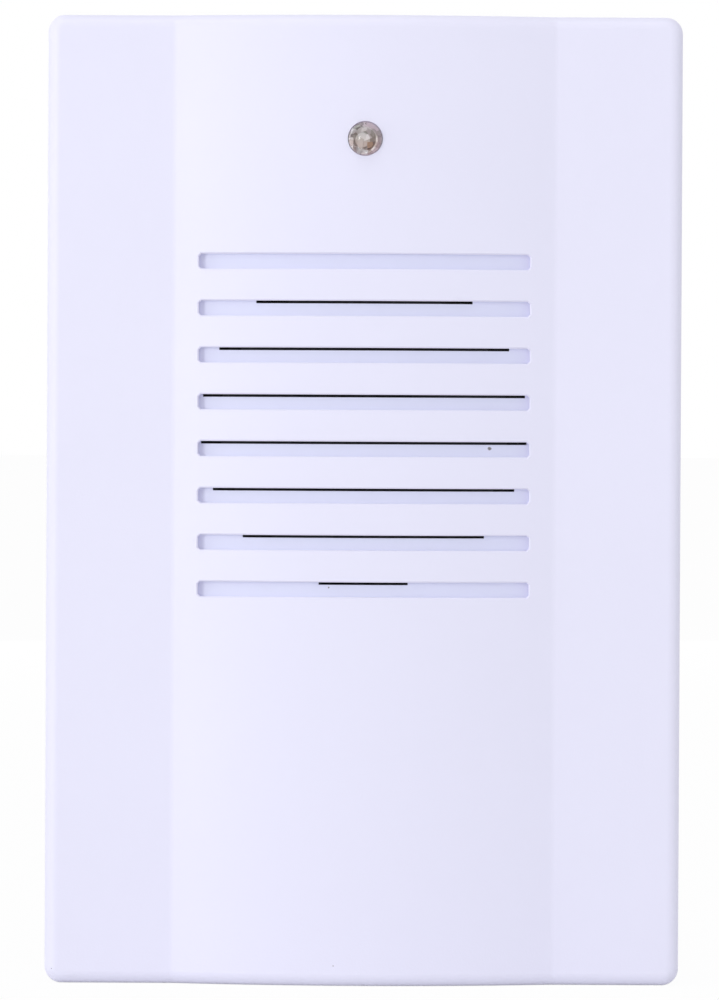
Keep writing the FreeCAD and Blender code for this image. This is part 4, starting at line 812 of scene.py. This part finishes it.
class CHIME_OT_batteries(bpy.types.Operator):
    """Build the three sleeved cells and wind the springs behind their negative ends"""
    bl_idname = "chime.batteries"
    bl_label = "Cells and contacts"

    def execute(self, context):
        look = context.scene.chime_batteries
        steel = plated_metal("cell_steel", (0.70, 0.70, 0.69), 0.25, stain=0.08)
        springs = []
        for number, node in enumerate(sorted(SLEEVE_WAYS), 1):
            low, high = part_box(node)
            centre = (low + high) / 2
            way = SLEEVE_WAYS[node]
            half = (high.x - low.x) / 2
            r = (high.z - low.z) / 2
            shell = [(0.0, -half), (r - 2.2 * MM, -half), (r - 1.9 * MM, -half + 0.25 * MM),
                     (r - 1.2 * MM, -half + 0.25 * MM), (r - 0.9 * MM, -half), (r - 0.35 * MM, -half),
                     (r, -half + 0.4 * MM), (r, half - 2.0 * MM), (r - 0.3 * MM, half - 1.55 * MM),
                     (r - 1.3 * MM, half - 1.4 * MM), (r - 1.45 * MM, half - 1.6 * MM),
                     (3.1 * MM, half - 1.5 * MM), (2.75 * MM, half - 1.1 * MM), (2.6 * MM, half - 0.15 * MM),
                     (2.3 * MM, half), (0.0, half)]
            outline = [(radius, way * place) for radius, place in shell]
            cell = turn_piece(f"cell_{number}", outline, centre, steps=64, axis="X")
            give(cell, cell_sleeve(f"cell_sleeve_{number}", node, look.wrap, look.band))
            cell.data.materials.append(steel)
            for face in cell.data.polygons:
                spot = face.center - centre
                if math.hypot(spot.y, spot.z) < r - 1.35 * MM:
                    face.material_index = 1
            smooth(cell, 40)
            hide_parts(node)
            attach(cell, "case")

            reach = SPRING_ROOM - CONTACT_THICK - 2 * look.spring_wire
            base = centre.x - way * (half + reach + look.spring_wire)
            steps = look.spring_turns * SPRING_POINTS
            line = []
            for index in range(steps + 1):
                share = index / steps
                rise = min(1.0, max(0.0, (share - SPRING_FLAT) / (1 - 2 * SPRING_FLAT)))
                radius = SPRING_WIDE + (SPRING_NARROW - SPRING_WIDE) * rise
                angle = 2 * math.pi * look.spring_turns * share
                line.append(Vector((base + way * reach * rise, centre.y + radius * math.cos(angle),
                                    centre.z + radius * math.sin(angle))))
            springs.append(wire_piece(f"spring_{number}", line, look.spring_wire))
        coil = join("negative_springs", *springs)
        smooth(coil, 60)
        nickel = plated_metal("nickel_contact", (0.72, 0.70, 0.66), 0.28)
        give(coil, nickel)
        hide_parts("contact_springs")
        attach(coil, "case")
        dress(nickel, "contact_negative", "contact_positive", "contact_bridge_right", "contact_bridge_left")
        return {"FINISHED"}


class CHIME_OT_electronics(bpy.types.Operator):
    """Finish the circuit board, what stands on it and its wiring"""
    bl_idname = "chime.electronics"
    bl_label = "Electronics"

    def execute(self, context):
        dress(board_mask("solder_mask"), "circuit_board", "receiver_module")
        dress(moulded_plastic("chip_epoxy", (0.02, 0.02, 0.022), 0.5, 0.0002, 0.00001), "sound_chip")
        dress(plated_metal("crystal_metal", (0.75, 0.75, 0.76), 0.25, (6, 1, 1)), "crystal_can")
        dress(moulded_plastic("capacitor_sleeve", (0.02, 0.03, 0.08), 0.25, 0.0006, 0.000005), "capacitors")
        dress(plated_metal("small_screw", (0.55, 0.55, 0.56), 0.35), "board_screws")
        dress(moulded_plastic("red_insulation", (0.60, 0.02, 0.02), 0.4, 0.0008, 0.00001),
              "speaker_wire_red", "battery_wire_red")
        dress(moulded_plastic("black_insulation", (0.015, 0.015, 0.015), 0.4, 0.0008, 0.00001),
              "speaker_wire_black", "battery_wire_black")
        return {"FINISHED"}


class CHIME_OT_loudspeaker(bpy.types.Operator):
    """Finish the loudspeaker behind the louvres"""
    bl_idname = "chime.loudspeaker"
    bl_label = "Loudspeaker"

    def execute(self, context):
        dress(soft_sheet("cone_paper", (0.085, 0.085, 0.095), 0.0006, 0.00004), "speaker_cone", "dust_cap")
        dress(soft_sheet("edge_rubber", (0.03, 0.03, 0.03), 0.0005, 0.00002, 0.7), "speaker_surround")
        dress(soft_sheet("spider_cloth", (0.62, 0.45, 0.18), 0.0004, 0.00005), "speaker_spider")
        dress(plated_metal("basket_steel", (0.42, 0.43, 0.44), 0.45), "speaker_basket")
        dress(plated_metal("coil_copper", (0.72, 0.35, 0.18), 0.35, (1, 0.1, 1)), "voice_coil")
        dress(soft_sheet("magnet_ferrite", (0.06, 0.06, 0.065), 0.0005, 0.00002, 0.55), "magnet_ring")
        dress(plated_metal("yoke_steel", (0.62, 0.62, 0.60), 0.3), "top_plate", "magnet_yoke")
        dress(soft_sheet("tag_fibre", (0.30, 0.17, 0.08), 0.0006, 0.00001, 0.6), "terminal_board")
        dress(plated_metal("speaker_fixing", (0.55, 0.55, 0.56), 0.35), "speaker_screws", "speaker_washers")
        return {"FINISHED"}


class CHIME_OT_stage(bpy.types.Operator):
    """Set up the floor, the room, the lamps and the camera"""
    bl_idname = "chime.stage"
    bl_label = "Stage"

    def execute(self, context):
        look = context.scene.chime_stage
        scene = context.scene
        low = CAD_BOX[0]
        let_go()
        bpy.ops.mesh.primitive_plane_add(size=look.floor, location=(0, 0, low.z - 0.05 * MM))
        floor = settle(start("floor"))
        bpy.ops.object.mode_set(mode="EDIT")
        bpy.ops.mesh.select_all(action="SELECT")
        bpy.ops.mesh.subdivide(number_cuts=4)
        bpy.ops.object.mode_set(mode="OBJECT")
        paint = Paint("pale_floor")
        flat = paint.node("ShaderNodeBsdfDiffuse", inputs={"Color": (0.80, 0.80, 0.81, 1)})
        glow = paint.node("ShaderNodeEmission", inputs={"Color": (1, 1, 1, 1), "Strength": 1.0})
        surface = paint.node("ShaderNodeMixShader",
                             inputs={0: paint.seen() * look.floor_glow, 1: flat, 2: glow})
        paint.node("ShaderNodeOutputMaterial", inputs={"Surface": surface})
        floor.data.materials.append(paint.owner)

        world = bpy.data.worlds.new("white_room")
        scene.world = world
        room = Paint("white_room", world)
        around = room.node("ShaderNodeBackground", inputs={"Color": (0.97, 0.98, 1.0, 1),
                                                           "Strength": look.ambient})
        white = room.node("ShaderNodeBackground", inputs={"Color": (1, 1, 1, 1), "Strength": 1.0})
        shown = room.node("ShaderNodeMixShader", inputs={0: room.seen(), 1: around, 2: white})
        room.node("ShaderNodeOutputWorld", inputs={"Surface": shown})

        lamps = (("key_lamp", (-0.72, -0.90, 0.10), 0.30, look.key),
                 ("side_lamp", (-1.20, -0.30, 0.06), 0.70, look.side),
                 ("fill_lamp", (0.85, -0.80, 0.08), 0.75, look.fill),
                 ("top_lamp", (-0.20, -0.60, 1.10), 0.60, look.top),
                 ("front_lamp", (0.0, -1.50, 0.25), 0.90, look.front),
                 ("back_lamp", (-0.25, 1.50, 0.30), 1.10, look.back))
        for name, place, size, power in lamps:
            let_go()
            aim = (Vector((0, 0, 0)) - Vector(place)).to_track_quat("-Z", "Y").to_euler()
            bpy.ops.object.light_add(type="AREA", location=place, rotation=aim)
            lamp = start(name)
            lamp.data.size = size
            lamp.data.energy = power

        target = Vector((look.aim_x, low.y, look.aim_z))
        place = Vector((look.aim_x, low.y - look.distance, look.aim_z + look.height))
        let_go()
        turn = (target - place).to_track_quat("-Z", "Y").to_euler()
        bpy.ops.object.camera_add(location=place, rotation=turn)
        camera = start("camera")
        bpy.context.view_layer.update()
        camera.rotation_euler.rotate_axis("Z", look.roll)
        camera.data.lens = camera.data.sensor_width * (target - place).length / look.frame_height
        camera.data.clip_start = 0.01
        camera.data.clip_end = 100
        scene.camera = camera
        scene.view_settings.view_transform = "Standard"
        return {"FINISHED"}


class CHIME_PT_panel(bpy.types.Panel):
    """Sizes, colours and steps of the chime unit"""
    bl_idname = "CHIME_PT_panel"
    bl_label = "Doorbell chime"
    bl_space_type = "VIEW_3D"
    bl_region_type = "UI"
    bl_category = "Chime"

    def draw(self, context):
        for group, steps in PANEL_ROWS:
            box = self.layout.box()
            if group:
                look = getattr(context.scene, group)
                for key in look.bl_rna.properties.keys():
                    if key not in ("rna_type", "name"):
                        box.prop(look, key)
            for step in steps:
                box.operator(step)


GROUPS = {"chime_case": CaseLook, "chime_controls": ControlLook, "chime_light": LightLook,
          "chime_batteries": BatteryLook, "chime_screws": ScrewLook, "chime_stage": StageLook}
STEPS = (CHIME_OT_case, CHIME_OT_light, CHIME_OT_screws, CHIME_OT_controls, CHIME_OT_batteries,
         CHIME_OT_electronics, CHIME_OT_loudspeaker, CHIME_OT_stage)
PANEL_ROWS = (("chime_case", ["chime.case"]), ("chime_light", ["chime.light"]),
              ("chime_screws", ["chime.screws"]), ("chime_controls", ["chime.controls"]),
              ("chime_batteries", ["chime.batteries"]),
              ("", ["chime.electronics", "chime.loudspeaker"]), ("chime_stage", ["chime.stage"]))


def register():
    for group in GROUPS.values():
        bpy.utils.register_class(group)
    for step in STEPS + (CHIME_PT_panel,):
        bpy.utils.register_class(step)
    for name, group in GROUPS.items():
        setattr(bpy.types.Scene, name, bpy.props.PointerProperty(type=group))


def unregister():
    for name in GROUPS:
        delattr(bpy.types.Scene, name)
    for step in reversed(STEPS + (CHIME_PT_panel,)):
        bpy.utils.unregister_class(step)
    for group in GROUPS.values():
        bpy.utils.unregister_class(group)


def main():
    """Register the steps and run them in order."""
    register()
    bpy.ops.chime.case()
    bpy.ops.chime.light()
    bpy.ops.chime.screws()
    bpy.ops.chime.controls()
    bpy.ops.chime.batteries()
    bpy.ops.chime.electronics()
    bpy.ops.chime.loudspeaker()
    bpy.ops.chime.stage()
    let_go()


if __name__ == "__main__":
    main()
